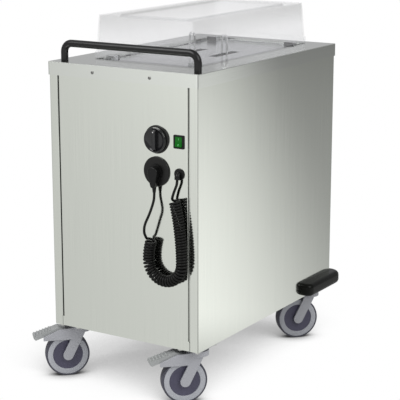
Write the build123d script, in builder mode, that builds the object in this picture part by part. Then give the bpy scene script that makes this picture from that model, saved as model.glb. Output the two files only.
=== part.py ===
from build123d import *
import math
import os

# Heated plate dispenser cart: a sheet-steel cabinet on four swivel casters, with a
# sprung platform for two stacks of plates, a lift-off hood, a push handle and a curly
# mains lead that parks on the front panel.
# Millimetres. Origin: on the floor, under the middle of the cabinet.
# +X is to the right seen from the control panel, +Y to the rear, +Z up.

os.makedirs("parts", exist_ok=True)

# ---------------------------------------------------------------- driving dimensions
cabinet_width = 475.0
cabinet_depth = 758.0
cabinet_top = 900.0
sheet = 1.5
rest_gap = 0.3          # between a moving piece and what it rests on
slide_gap = 0.3         # around a sliding or turning shaft
seam = 0.5              # between two sheets that meet edge to edge

skirt_height = 36.0
skirt_overhang = 3.0
cap_corner = 5.0
cap_screw_spread = 183.0
cap_screw_radius = 2.2
cap_screw_head = 4.5
cap_screw_height = 16.0  # above the skirt's lower edge
cap_screw_dome = 2.0

corner_strip = 27.0     # width of the side panels' front strips
slit_width = 3.0        # open joint beside the front panel
slit_foot = 27.0        # the joint closes this far above the panel's lower edge
strip_return = 14.0
rear_strip = 22.0
bend_radius = 2.0

base_thickness = 2.0
base_flange = 24.0

well_side_inset = 76.5  # cabinet's side to the well's side wall
well_front_inset = 104.0
well_rear_inset = 38.0
well_lip = 6.0
well_floor_height = 12.0
floor_leg_inset = 20.0  # the floor's folded legs stand this far inside its edge
well_corner = 12.0

platform_gap = 8.0      # platform to well wall
platform_drop = 8.0     # cap top to platform top, at rest
platform_sheet = 2.0
platform_edge = 8.0
platform_travel = 440.0
platform_corner = 10.0
edge_hole_inset = 17.0
edge_hole_pitch = 134.0
edge_hole_rows = 4
edge_hole_radius = 4.0

beam_width = 24.0
beam_height = 20.0
beam_wall = 2.0
beam_spread = 300.0     # between the two cross beams
slot_play = 2.0         # beam to the edge of its slot in the well wall
frame_thickness = 8.0
frame_gap = 12.0        # well wall to side frame
rod_radius = 7.0
rod_reach = 22.5        # side frame's inner face to the slide rods' axis
carrier_length = 34.0
carrier_width = 30.0
bush_wall = 3.0
bush_flange = 2.0
bush_flange_extra = 2.0
hook_bar_drop = 250.0   # hook bar below the cross beams
hook_bar_height = 10.0

heater_inset = 70.0     # heater's ends from the well's ends
heater_rise = 20.0
heater_side_inset = 61.0
heater_bend = 14.0
heater_radius = 4.25

spring_radius = 11.0
spring_wall = 2.5
spring_count = 3
spring_pitch = 70.0
stud_radius = 3.0
stud_head_radius = 7.0
stud_head = 4.0
stud_neck = 14.0        # stud length between spring and bar
hanger_drop = 16.0      # hangers below the cabinet's top
hanger_thickness = 4.0
hanger_leg = 26.0
hanger_clearance = 4.0
hanger_edge = 2.0       # metal outside a stud's head

guide_spread = 108.0    # between the two wire guides
guide_shift = 51.0      # guides behind the cabinet's centre
guide_wire = 6.0
guide_loop = 22.0       # outer width of a guide
guide_rise = 49.0       # guides above the cabinet's top
guide_travel = 60.0
guide_play = 3.0        # guide to the edge of its slot in the platform
track_height = 12.0
track_head = 22.0
track_neck = 12.0
track_head_height = 5.0
track_end = 12.0
foot_length = 30.0
foot_wall = 5.0
foot_lip = 4.0
foot_neck_play = 1.0

stop_inset = 27.0       # corner stops' middle from the well's side wall
stop_reach = 52.0       # from the rim inwards
stop_arm = 10.0
stop_arm_height = 3.0
stop_clearance = 1.0    # above the platform
stop_block = 18.0
stop_width = 30.0
stop_height = 13.0
stop_pad = 6.0

hood_end_lap = 5.0      # hood beyond the well at each end
hood_side_lap = 3.0     # and on each side
hood_height = 120.0
hood_wall = 3.0
hood_skirt = 20.0
hood_step = 3.0
hood_taper = 9.0        # lean of the side walls over their height
hood_border = 40.0
hood_recess = 6.0
hood_corner = 14.0
hood_edge = 3.0

handle_tube = 20.0
handle_wall = 2.0
handle_side_inset = 24.0
handle_setback = 38.0
handle_rise = 57.0
handle_bend = 24.0
handle_foot = 10.0      # solid foot of the tube
handle_bolt_radius = 4.0
handle_bolt_head_radius = 7.0
handle_bolt_head = 6.0
handle_bolt_end = 6.0   # bolt's end above the handle's foot

dial_inset = 126.5      # from the cabinet's right side
dial_drop = 179.0       # below the cabinet's top
dial_bezel_radius = 40.0
dial_bezel_depth = 4.0
knob_radius = 35.0
knob_disc = 7.0
knob_grip_depth = 15.0
knob_grip_width = 18.0
knob_grip_inset = 3.0
knob_grip_taper = 8.0
knob_grip_edge = 2.0
stem_length = 14.0
thermostat_size = 46.0
thermostat_depth = 30.0
stem_radius = 3.0
stem_gap = 3.0          # around the stem in the panel and the bezel

switch_inset = 57.5
switch_drop = 179.0
switch_bezel_width = 33.0
switch_bezel_height = 36.0
switch_bezel_depth = 3.0
switch_body_width = 27.0
switch_body_height = 31.0
switch_body_depth = 24.0
rocker_width = 20.4
rocker_height = 26.0
rocker_side_gap = 0.4
rocker_end_gap = 1.0
rocker_pivot = 5.0      # pivot behind the bezel's face
rocker_proud = 1.6
rocker_heel = 4.0
rocker_ridge = 1.0
rocker_dish = 1.2
rocker_well = 13.0
rocker_tilt = 6.0       # each way from level

socket_inset = 126.5
socket_drop = 264.0
socket_radius = 40.0
socket_depth = 5.0
socket_cup_radius = 20.0
socket_cup_depth = 16.0
socket_cup_wall = 4.0
plug_barrel_radius = 19.0
plug_barrel_depth = 14.0
plug_body_depth = 20.0
plug_head_radius = 15.0
plug_tail_radius = 7.0
plug_tail_drop = 34.0
plug_tail_place = 0.45  # share of the body's depth where the cord leaves
plug_rim_radius = 20.5
plug_rim = 4.0
plug_edge = 3.0
relief_length = 20.0
relief_radius = 6.5
relief_end_radius = 4.2

gland_inset = 56.5
gland_drop = 264.0
gland_radius = 15.5
gland_flange = 4.0
gland_elbow_radius = 7.0
gland_bend = 7.5
gland_snout = 4.0
gland_neck_radius = 9.0
gland_nut = 5.0
gland_nut_radius = 14.0

cord_diameter = 6.6
coil_radius = 12.4      # from the coil's axis to the middle of the flex
coil_pitch = 7.2
coil_offset = 17.0      # coil axis in front of the panel
coil_top = (-5.0, -66.0)        # the coil's axis from the gland, to the right and up:
coil_right = (17.0, -237.0)     # its upper end, the right end of its bend,
coil_left = (-87.0, -237.0)     # the left end of its bend
coil_end = (-79.0, -184.0)      # and its other end
coil_start = 105.0      # where the first turn starts, from the right round the front
tail_radius = 8.0       # the flex leaves the coil on this radius
tail_tilt = 32.0        # the lower tail leans this far out from upright,
lead_tilt = 35.0        # and the upper one this far
lead_bulge = 37.0       # the free lead stands this far out from the panel
gland_first_run = 5.0      # the upper lead leaves the gland straight for this length
lead_first_run = 12.0
lead_last_run = 12.0
lead_way = ((-16.0, -138.0), (-4.0, -112.0), (0.0, -80.0))     # route from the plug, as for the coil
lead_inward = 4.0       # the upper part of the route lies this much nearer the panel
cord_sides = 6

bumper_drop = 3.0       # bumper's lower edge below the cabinet's
bumper_height = 45.0
bumper_depth = 30.0
bumper_side_leg = 178.0
bumper_rear_leg = 130.0
bumper_corner = 26.0
bumper_end_corner = 20.0
bumper_top_round = 15.0
bumper_foot_round = 8.0

caster_inset_x = 40.0
caster_inset_y = 60.0
caster_yaw = 45.0
caster_trail = 38.0
wheel_radius = 62.5
wheel_width = 32.0
wheel_clearance = 6.0   # tyre to the fork's crown
tyre_thickness = 5.0
ring_width = 15.1       # light ring between the tyre and the hub
tyre_shoulder = 2.0     # the tread's edges are this much lower than its middle
hub_recess = 2.0
hub_boss = 14.0
axle_radius = 5.0
axle_cover = 2.5        # metal left outside the axle's and the pins' ends
axle_fit = 0.1
fork_gap = 3.5          # wheel to fork arm
fork_arm = 6.0
fork_arm_width = 28.0
fork_arm_lean = 4.0     # the arms' upper ends lie this far behind the swivel axis
fork_crown_radius = 31.0
fork_crown = 14.7
bearing_radius = 28.0
bearing_height = 9.0
bearing_taper = 12.0
kingpin_radius = 6.0
kingpin_length = 11.0
plate_thickness = 3.0
plate_width = 76.0
plate_length = 104.0
plate_corner = 6.0
plate_bolt_x = 55.0
plate_bolt_y = 84.0
bolt_radius = 4.0
bolt_head_radius = 7.0
bolt_head = 5.0
bolt_end = 7.0          # above the base pan
bolt_nut = 5.0
cowl_reach = 69.0       # from the axle along the trail
cowl_drop = 15.0        # cowl's lower edge below the tyre's top
cowl_tip = 10.0         # height of the cowl's end
cowl_shoulder = (22.0, 15.0)    # behind the axle and above the tyre, of the bend in its upper edge
pedal_reach = 96.0
pedal_width = 37.0
pedal_thickness = 11.0
pedal_ribs = 6
pedal_rib = 2.5
pedal_rib_step = 9.0
pedal_lip = 4.0
pedal_tread_end = 26.0  # upper end of the tread, behind the axle
pedal_low = -3.0        # the tread's lower end above the tyre's top
pedal_high = 20.0       # and its upper end
pedal_pin_radius = 3.0
pedal_boss = 6.5
pedal_pivot = (8.0, 8.5)        # behind the axle and above the tyre's top
shoe_setback = 37.0     # brake shoe behind the axle
shoe_gap = 9.6          # brake shoe above the tyre, off
brake_shoe_width = 10.0

# ---------------------------------------------------------------- derived places
front = -cabinet_depth / 2
rear = cabinet_depth / 2
side = cabinet_width / 2
wheel_top = 2 * wheel_radius
rim_radius = wheel_radius - tyre_thickness
hub_radius = rim_radius - ring_width
caster_height = wheel_top + wheel_clearance + fork_crown + rest_gap + bearing_height + plate_thickness
base_top = caster_height + base_thickness
well_width = cabinet_width - 2 * well_side_inset
well_length = cabinet_depth - well_front_inset - well_rear_inset
well_shift = (well_front_inset - well_rear_inset) / 2
well_floor_top = base_top + well_floor_height
skirt_bottom = cabinet_top - skirt_height
panel_top = cabinet_top - sheet
strip_edge = side - corner_strip
wall_x = well_width / 2
wall_front = well_shift - well_length / 2
wall_rear = well_shift + well_length / 2
wall_top = cabinet_top - well_lip
platform_top = cabinet_top - platform_drop
beam_top = platform_top - platform_edge
beam_bottom = beam_top - beam_height
beam_places = [well_shift - beam_spread / 2, well_shift + beam_spread / 2]
frame_inner = wall_x + sheet + frame_gap
hook_bar_top = beam_bottom - hook_bar_drop + hook_bar_height
dial_x = side - dial_inset
dial_z = cabinet_top - dial_drop
switch_x = side - switch_inset
switch_z = cabinet_top - switch_drop
socket_x = side - socket_inset
socket_z = cabinet_top - socket_drop
gland_x = side - gland_inset
gland_z = cabinet_top - gland_drop


def save(piece, name):
    piece.part.label = name
    export_step(piece.part, f"parts/{name}.step")


def front_plane(x, z, proud=0.0):
    """A plane on the front panel's face, looking out of it, with +Y of the sketch up."""
    return Plane(origin=(x, front - proud, z), x_dir=(1, 0, 0), z_dir=(0, -1, 0))


# ---------------------------------------------------------------- base pan
caster_spread = (cabinet_width - 2 * caster_inset_x, cabinet_depth - 2 * caster_inset_y)

with BuildPart() as base_pan:
    with BuildSketch(Plane.XY.offset(caster_height)):
        Rectangle(cabinet_width - 2 * sheet, cabinet_depth - 2 * sheet)
    extrude(amount=base_flange)
    with BuildSketch(Plane.XY.offset(base_top)):
        Rectangle(cabinet_width - 2 * sheet - 2 * base_thickness,
                  cabinet_depth - 2 * sheet - 2 * base_thickness)
    extrude(amount=base_flange, mode=Mode.SUBTRACT)
    with BuildSketch(Plane.XY.offset(caster_height)):
        with GridLocations(*caster_spread, 2, 2):
            with GridLocations(plate_bolt_x, plate_bolt_y, 2, 2):
                Circle(bolt_radius + slide_gap)
    extrude(amount=base_thickness, mode=Mode.SUBTRACT)
save(base_pan, "base_pan")

# ---------------------------------------------------------------- cabinet panels
half_sheet = sheet / 2


def folded_panel(points, notch_x, notch_y):
    """Upright sheet folded along points, notched over the base pan's flanges."""
    with BuildPart() as panel:
        with BuildSketch(Plane.XY.offset(caster_height)):
            with BuildLine():
                FilletPolyline(*points, radius=bend_radius)
            trace(line_width=sheet)
        extrude(amount=panel_top - caster_height)
        with BuildSketch(Plane.XY.offset(caster_height)):
            Rectangle(2 * notch_x, 2 * notch_y)
        extrude(amount=base_flange + seam, mode=Mode.SUBTRACT)
    return panel


inner_x = side - sheet
inner_y = rear - sheet
side_panel_right = folded_panel(
    [
        (strip_edge + half_sheet, front + strip_return),
        (strip_edge + half_sheet, front + half_sheet),
        (side - half_sheet, front + half_sheet),
        (side - half_sheet, rear - half_sheet),
        (side - rear_strip, rear - half_sheet),
    ],
    inner_x, inner_y,
)
save(side_panel_right, "side_panel_right")

with BuildPart() as side_panel_left:
    mirror(side_panel_right.part, about=Plane.YZ)
save(side_panel_left, "side_panel_left")

panel_half = strip_edge - slit_width
with BuildPart() as front_panel:
    add(folded_panel(
        [
            (-panel_half + half_sheet, front + strip_return),
            (-panel_half + half_sheet, front + half_sheet),
            (panel_half - half_sheet, front + half_sheet),
            (panel_half - half_sheet, front + strip_return),
        ],
        inner_x, inner_y,
    ).part)
    # the foot of the panel is wider, so the open joints end above it
    with BuildSketch(Plane.XY.offset(caster_height)):
        with Locations((0, front + half_sheet)):
            Rectangle(2 * (strip_edge - seam), sheet)
    extrude(amount=slit_foot)
    with BuildSketch(front_plane(dial_x, dial_z)):
        Circle(stem_radius + stem_gap)
    with BuildSketch(front_plane(switch_x, switch_z)):
        Rectangle(switch_body_width + 2 * slide_gap, switch_body_height + 2 * slide_gap)
    with BuildSketch(front_plane(socket_x, socket_z)):
        Circle(socket_cup_radius + socket_cup_wall + slide_gap)
    with BuildSketch(front_plane(gland_x, gland_z)):
        Circle(gland_neck_radius + slide_gap)
    extrude(amount=-sheet, mode=Mode.SUBTRACT)
save(front_panel, "front_panel")

rear_half = side - rear_strip - seam
rear_panel = folded_panel(
    [
        (-rear_half + half_sheet, rear - strip_return),
        (-rear_half + half_sheet, rear - half_sheet),
        (rear_half - half_sheet, rear - half_sheet),
        (rear_half - half_sheet, rear - strip_return),
    ],
    inner_x, inner_y,
)
save(rear_panel, "rear_panel")

# ---------------------------------------------------------------- top cap
cap_width = cabinet_width + 2 * skirt_overhang
cap_depth = cabinet_depth + 2 * skirt_overhang
handle_half = side - handle_side_inset
handle_y = front + handle_setback
handle_feet = [(-handle_half, handle_y), (handle_half, handle_y)]
cap_faces = [front - skirt_overhang, rear + skirt_overhang]


def skirt_plane(face_y):
    """A plane on the cap's front or rear skirt, at the height of its screws."""
    return Plane(origin=(0, face_y, skirt_bottom + cap_screw_height), x_dir=(1, 0, 0),
                 z_dir=(0, math.copysign(1, face_y), 0))


with BuildPart() as top_cap:
    with BuildSketch(Plane.XY.offset(skirt_bottom)):
        RectangleRounded(cap_width, cap_depth, cap_corner)
    extrude(amount=skirt_height)
    fillet(top_cap.faces().sort_by(Axis.Z)[-1].edges(), radius=sheet)
    with BuildSketch(Plane.XY.offset(skirt_bottom)):
        RectangleRounded(cap_width - 2 * sheet, cap_depth - 2 * sheet, cap_corner - sheet)
    extrude(amount=skirt_height - sheet, mode=Mode.SUBTRACT)
    with BuildSketch(Plane.XY.offset(wall_top)):
        with Locations((0, well_shift)):
            RectangleRounded(well_width + 2 * sheet, well_length + 2 * sheet, well_corner + sheet)
    extrude(amount=well_lip)
    with BuildSketch(Plane.XY.offset(wall_top)):
        with Locations((0, well_shift)):
            RectangleRounded(well_width, well_length, well_corner)
    extrude(amount=well_lip, mode=Mode.SUBTRACT)
    with BuildSketch(Plane.XY.offset(cabinet_top)):
        with Locations(*handle_feet):
            Circle(handle_bolt_radius + slide_gap)
    extrude(amount=-sheet, mode=Mode.SUBTRACT)
    for face_y in cap_faces:
        with BuildSketch(skirt_plane(face_y)):
            with GridLocations(cap_screw_spread, 1, 2, 1):
                Circle(cap_screw_radius + slide_gap)
        extrude(amount=-sheet, mode=Mode.SUBTRACT)
save(top_cap, "top_cap")

with BuildPart() as cap_screws:
    for face_y in cap_faces:
        with BuildSketch(skirt_plane(face_y)):
            with GridLocations(cap_screw_spread, 1, 2, 1):
                Circle(cap_screw_radius)
        extrude(amount=-skirt_overhang)
        with BuildSketch(skirt_plane(face_y)):
            with GridLocations(cap_screw_spread, 1, 2, 1):
                Circle(cap_screw_head)
        extrude(amount=cap_screw_dome, taper=30)
save(cap_screws, "cap_screws")

# ---------------------------------------------------------------- plate well
slot_width = beam_width + 2 * slot_play
slot_bottom = beam_bottom - platform_travel - slot_play

with BuildPart() as well_wall_right:
    with BuildSketch(Plane.YZ.offset(wall_x)):
        with Locations((well_shift, (well_floor_top + wall_top) / 2)):
            Rectangle(well_length, wall_top - well_floor_top)
        with Locations((well_shift, (slot_bottom + wall_top) / 2)):
            with GridLocations(beam_spread, 1, 2, 1):
                Rectangle(slot_width, wall_top - slot_bottom, mode=Mode.SUBTRACT)
    extrude(amount=sheet)
save(well_wall_right, "well_wall_right")

with BuildPart() as well_wall_left:
    mirror(well_wall_right.part, about=Plane.YZ)
save(well_wall_left, "well_wall_left")

for name, wall_y, outward in (("well_wall_front", wall_front, -1), ("well_wall_rear", wall_rear, 1)):
    with BuildPart() as well_end:
        with BuildSketch(Plane(origin=(0, wall_y, 0), x_dir=(1, 0, 0), z_dir=(0, -1, 0))):
            with Locations((0, (well_floor_top + wall_top) / 2)):
                Rectangle(well_width + 2 * sheet, wall_top - well_floor_top)
        extrude(amount=-outward * sheet)
    save(well_end, name)

with BuildPart() as well_floor:
    with BuildSketch(Plane.XY.offset(base_top)):
        with Locations((0, well_shift)):
            Rectangle(well_width - 2 * floor_leg_inset, well_length - 2 * floor_leg_inset)
            Rectangle(well_width - 2 * floor_leg_inset - 2 * sheet,
                      well_length - 2 * floor_leg_inset - 2 * sheet, mode=Mode.SUBTRACT)
    extrude(amount=well_floor_height - sheet)
    with BuildSketch(Plane.XY.offset(well_floor_top)):
        with Locations((0, well_shift)):
            Rectangle(well_width + 2 * sheet, well_length + 2 * sheet)
    extrude(amount=-sheet)
save(well_floor, "well_floor")

# ---------------------------------------------------------------- heating element
heater_spread = well_width - 2 * heater_side_inset
heater_front = wall_front + heater_inset
heater_rear = wall_rear - heater_inset
heater_level = well_floor_top + heater_rise
with BuildPart() as heating_element:
    with BuildLine():
        FilletPolyline(
            (-heater_spread / 2, heater_front, well_floor_top),
            (-heater_spread / 2, heater_front, heater_level),
            (-heater_spread / 2, heater_rear, heater_level),
            (heater_spread / 2, heater_rear, heater_level),
            (heater_spread / 2, heater_front, heater_level),
            (heater_spread / 2, heater_front, well_floor_top),
            radius=heater_bend,
        )
    with BuildSketch(Plane.XY.offset(well_floor_top)):
        with Locations((-heater_spread / 2, heater_front)):
            Circle(heater_radius)
    sweep()
save(heating_element, "heating_element")

# ---------------------------------------------------------------- lift: rods, springs, carriage
carrier_inner = frame_inner + frame_thickness
rod_offset = carrier_inner + rod_reach
rod_places = [(x, y) for x in (-rod_offset, rod_offset) for y in beam_places]
spring_lines = [(x, well_shift + (k - (spring_count - 1) / 2) * spring_pitch)
                for x in (-rod_offset, rod_offset) for k in range(spring_count)]
hanger_top = cabinet_top - hanger_drop
hanger_bottom = hanger_top - hanger_thickness
hook_bar_bottom = hook_bar_top - hook_bar_height
carrier_middle = carrier_inner + carrier_length / 2

with BuildPart() as slide_rods:
    with BuildSketch(Plane.XY.offset(base_top)):
        with Locations(*rod_places):
            Circle(rod_radius)
    extrude(amount=panel_top - base_top)
save(slide_rods, "slide_rods")

hanger_length = beam_spread - carrier_width - 2 * hanger_clearance
hanger_inner = rod_offset - stud_head_radius - hanger_edge
with BuildPart() as spring_hangers:
    for sign in (-1, 1):
        with BuildSketch(Plane.XZ.offset(-well_shift)):
            with BuildLine():
                Polyline(
                    (sign * hanger_inner, hanger_bottom),
                    (sign * inner_x, hanger_bottom),
                    (sign * inner_x, hanger_top - hanger_leg),
                    (sign * (inner_x - hanger_thickness), hanger_top - hanger_leg),
                    (sign * (inner_x - hanger_thickness), hanger_bottom - hanger_thickness),
                    (sign * hanger_inner, hanger_bottom - hanger_thickness),
                    close=True,
                )
            make_face()
        extrude(amount=hanger_length / 2, both=True)
    with BuildSketch(Plane.XY.offset(hanger_bottom)):
        with Locations(*spring_lines):
            Circle(stud_radius + slide_gap)
    extrude(amount=-hanger_thickness, mode=Mode.SUBTRACT)
save(spring_hangers, "spring_hangers")

hanger_seat = hanger_bottom - hanger_thickness
spring_top = hanger_seat - stud_neck
spring_bottom = hook_bar_top + stud_neck
with BuildPart() as lift_springs:
    with BuildSketch(Plane.XY.offset(spring_bottom)):
        with Locations(*spring_lines):
            Circle(spring_radius)
    extrude(amount=spring_top - spring_bottom)
    with BuildSketch(Plane.XY.offset(spring_bottom + spring_wall)):
        with Locations(*spring_lines):
            Circle(spring_radius - spring_wall)
    extrude(amount=spring_top - spring_bottom - 2 * spring_wall, mode=Mode.SUBTRACT)
    with BuildSketch(Plane.XY.offset(spring_top)):
        with Locations(*spring_lines):
            Circle(stud_radius)
    extrude(amount=stud_neck + hanger_thickness)
    with BuildSketch(Plane.XY.offset(hanger_bottom)):
        with Locations(*spring_lines):
            Circle(stud_head_radius)
    extrude(amount=stud_head)
    with BuildSketch(Plane.XY.offset(spring_bottom)):
        with Locations(*spring_lines):
            Circle(stud_radius)
    extrude(amount=-stud_neck - hook_bar_height)
    with BuildSketch(Plane.XY.offset(hook_bar_bottom - rest_gap)):
        with Locations(*spring_lines):
            Circle(stud_head_radius)
    extrude(amount=-stud_head)
    with BuildSketch(Plane.XY.offset(hook_bar_bottom)):
        with Locations(*spring_lines):
            Circle(stud_radius)
    extrude(amount=-rest_gap)
save(lift_springs, "lift_springs")

bush_radius = rod_radius + slide_gap + bush_wall
with BuildPart() as platform_carriage:
    for beam_y in beam_places:
        with BuildSketch(Plane.YZ.offset(-carrier_inner)):
            with Locations((beam_y, (beam_top + beam_bottom) / 2)):
                Rectangle(beam_width, beam_height)
                with Locations((0, -beam_wall)):
                    Rectangle(beam_width - 2 * beam_wall, beam_height, mode=Mode.SUBTRACT)
        extrude(amount=2 * carrier_inner)
    for sign in (-1, 1):
        with BuildSketch(Plane.YZ.offset(sign * frame_inner)):
            with Locations(*[(beam_y, (beam_top + hook_bar_bottom) / 2) for beam_y in beam_places]):
                Rectangle(carrier_width, beam_top - hook_bar_bottom)
            with Locations((well_shift, (hook_bar_top + hook_bar_bottom) / 2)):
                Rectangle(beam_spread, hook_bar_height)
        extrude(amount=sign * frame_thickness)
        with BuildSketch(Plane.XY.offset(hook_bar_bottom)):
            with Locations((sign * carrier_middle, well_shift)):
                Rectangle(carrier_length, beam_spread + carrier_width)
        extrude(amount=hook_bar_height)
        with BuildSketch(Plane.XY.offset(beam_bottom)):
            with Locations(*[(sign * carrier_middle, beam_y) for beam_y in beam_places]):
                Rectangle(carrier_length, carrier_width)
        extrude(amount=beam_height)
    with BuildSketch(Plane.XY.offset(hook_bar_bottom)):
        with Locations(*rod_places):
            Circle(bush_radius)
    extrude(amount=beam_top - hook_bar_bottom, mode=Mode.SUBTRACT)
    with BuildSketch(Plane.XY.offset(hook_bar_bottom)):
        with Locations(*spring_lines):
            Circle(stud_radius + slide_gap)
    extrude(amount=hook_bar_height, mode=Mode.SUBTRACT)
save(platform_carriage, "platform_carriage")

with BuildPart() as glide_bushes:
    for seat, height, out in ((beam_bottom, beam_height, -1), (hook_bar_bottom, hook_bar_height, -1)):
        with BuildSketch(Plane.XY.offset(seat)):
            with Locations(*rod_places):
                Circle(bush_radius)
        extrude(amount=height)
        with BuildSketch(Plane.XY.offset(seat)):
            with Locations(*rod_places):
                Circle(bush_radius + bush_flange_extra)
        extrude(amount=out * bush_flange)
        with BuildSketch(Plane.XY.offset(seat - bush_flange)):
            with Locations(*rod_places):
                Circle(rod_radius + slide_gap)
        extrude(amount=height + bush_flange, mode=Mode.SUBTRACT)
save(glide_bushes, "glide_bushes")

# ---------------------------------------------------------------- platform
platform_width = well_width - 2 * platform_gap
platform_length = well_length - 2 * platform_gap
guide_y = guide_shift
guide_slot_length = guide_wire + 2 * guide_travel + 2 * guide_play
with BuildPart() as platform_plate:
    with BuildSketch(Plane.XY.offset(beam_top)):
        with Locations((0, well_shift)):
            RectangleRounded(platform_width, platform_length, platform_corner)
    extrude(amount=platform_edge)
    fillet(platform_plate.faces().sort_by(Axis.Z)[-1].edges(), radius=platform_sheet)
    with BuildSketch(Plane.XY.offset(beam_top)):
        with Locations((0, well_shift)):
            RectangleRounded(platform_width - 2 * platform_sheet, platform_length - 2 * platform_sheet,
                             platform_corner - platform_sheet)
    extrude(amount=platform_edge - platform_sheet, mode=Mode.SUBTRACT)
    with BuildSketch(Plane.XY.offset(platform_top)):
        with Locations((0, guide_y)):
            with GridLocations(guide_spread, 1, 2, 1):
                Rectangle(guide_loop + 2 * guide_play, guide_slot_length)
        with Locations((0, well_shift)):
            with GridLocations(platform_width - 2 * edge_hole_inset, edge_hole_pitch, 2, edge_hole_rows):
                Circle(edge_hole_radius)
    extrude(amount=-platform_sheet, mode=Mode.SUBTRACT)
save(platform_plate, "platform_plate")

# ---------------------------------------------------------------- wire guides and their tracks
track_length = 2 * guide_travel + foot_length + 2 * track_end
track_top = well_floor_top + track_height
guide_top = cabinet_top + guide_rise
with BuildPart() as guide_tracks:
    with BuildSketch(Plane.XY.offset(well_floor_top)):
        with Locations((0, guide_y)):
            with GridLocations(guide_spread, 1, 2, 1):
                Rectangle(track_neck, track_length)
    extrude(amount=track_height)
    with BuildSketch(Plane.XY.offset(track_top)):
        with Locations((0, guide_y)):
            with GridLocations(guide_spread, 1, 2, 1):
                Rectangle(track_head, track_length)
    extrude(amount=-track_head_height)
save(guide_tracks, "guide_tracks")

foot_width = track_head + 2 * slide_gap + 2 * foot_wall
foot_top = track_top + rest_gap + foot_wall
foot_lip_top = track_top - track_head_height - slide_gap
leg_spread = guide_loop - guide_wire
for sign, name in ((-1, "guide_left"), (1, "guide_right")):
    guide_x = sign * guide_spread / 2
    with BuildPart() as wire_guide:
        with BuildSketch(Plane.XZ.offset(-guide_y)):
            with Locations((guide_x, foot_lip_top - foot_lip)):
                Rectangle(foot_width, foot_top - foot_lip_top + foot_lip, align=(Align.CENTER, Align.MIN))
                Rectangle(track_neck + 2 * slide_gap + 2 * foot_neck_play, foot_lip,
                          align=(Align.CENTER, Align.MIN), mode=Mode.SUBTRACT)
            with Locations((guide_x, foot_lip_top)):
                Rectangle(track_head + 2 * slide_gap, track_top + rest_gap - foot_lip_top,
                          align=(Align.CENTER, Align.MIN), mode=Mode.SUBTRACT)
        extrude(amount=foot_length / 2, both=True)
        loop_level = guide_top - guide_wire / 2 - leg_spread / 2
        with BuildLine():
            Line((guide_x - leg_spread / 2, guide_y, foot_top - foot_wall / 2),
                 (guide_x - leg_spread / 2, guide_y, loop_level))
            ThreePointArc((guide_x - leg_spread / 2, guide_y, loop_level),
                          (guide_x, guide_y, loop_level + leg_spread / 2),
                          (guide_x + leg_spread / 2, guide_y, loop_level))
            Line((guide_x + leg_spread / 2, guide_y, loop_level),
                 (guide_x + leg_spread / 2, guide_y, foot_top - foot_wall / 2))
        with BuildSketch(Plane.XY.offset(foot_top - foot_wall / 2)):
            with Locations((guide_x - leg_spread / 2, guide_y)):
                Circle(guide_wire / 2)
        sweep()
    save(wire_guide, name)

# ---------------------------------------------------------------- corner stops at the well's rim
stop_x = wall_x - stop_inset
stop_places = [(sx * stop_x, wall_front + stop_reach / 2, 1) for sx in (-1, 1)]
stop_places += [(sx * stop_x, wall_rear - stop_reach / 2, -1) for sx in (-1, 1)]
stop_bottom = platform_top + stop_clearance
with BuildPart() as corner_stops:
    for x, y, inward in stop_places:
        with BuildSketch(Plane.XY.offset(stop_bottom)):
            with Locations((x, y)):
                Rectangle(stop_arm, stop_reach)
        extrude(amount=stop_arm_height)
        with BuildSketch(Plane.XY.offset(stop_bottom)):
            with Locations((x, y + inward * (stop_reach - stop_block) / 2)):
                RectangleRounded(stop_width, stop_block, 2)
        extrude(amount=stop_height)
save(corner_stops, "corner_stops")

with BuildPart() as stop_pads:
    for x, y, inward in stop_places:
        with BuildSketch(Plane.XY.offset(stop_bottom)):
            with Locations((x, y + inward * (stop_reach / 2 + stop_pad / 2))):
                RectangleRounded(stop_width, stop_pad, 1.5)
        extrude(amount=stop_height)
save(stop_pads, "stop_pads")

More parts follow.
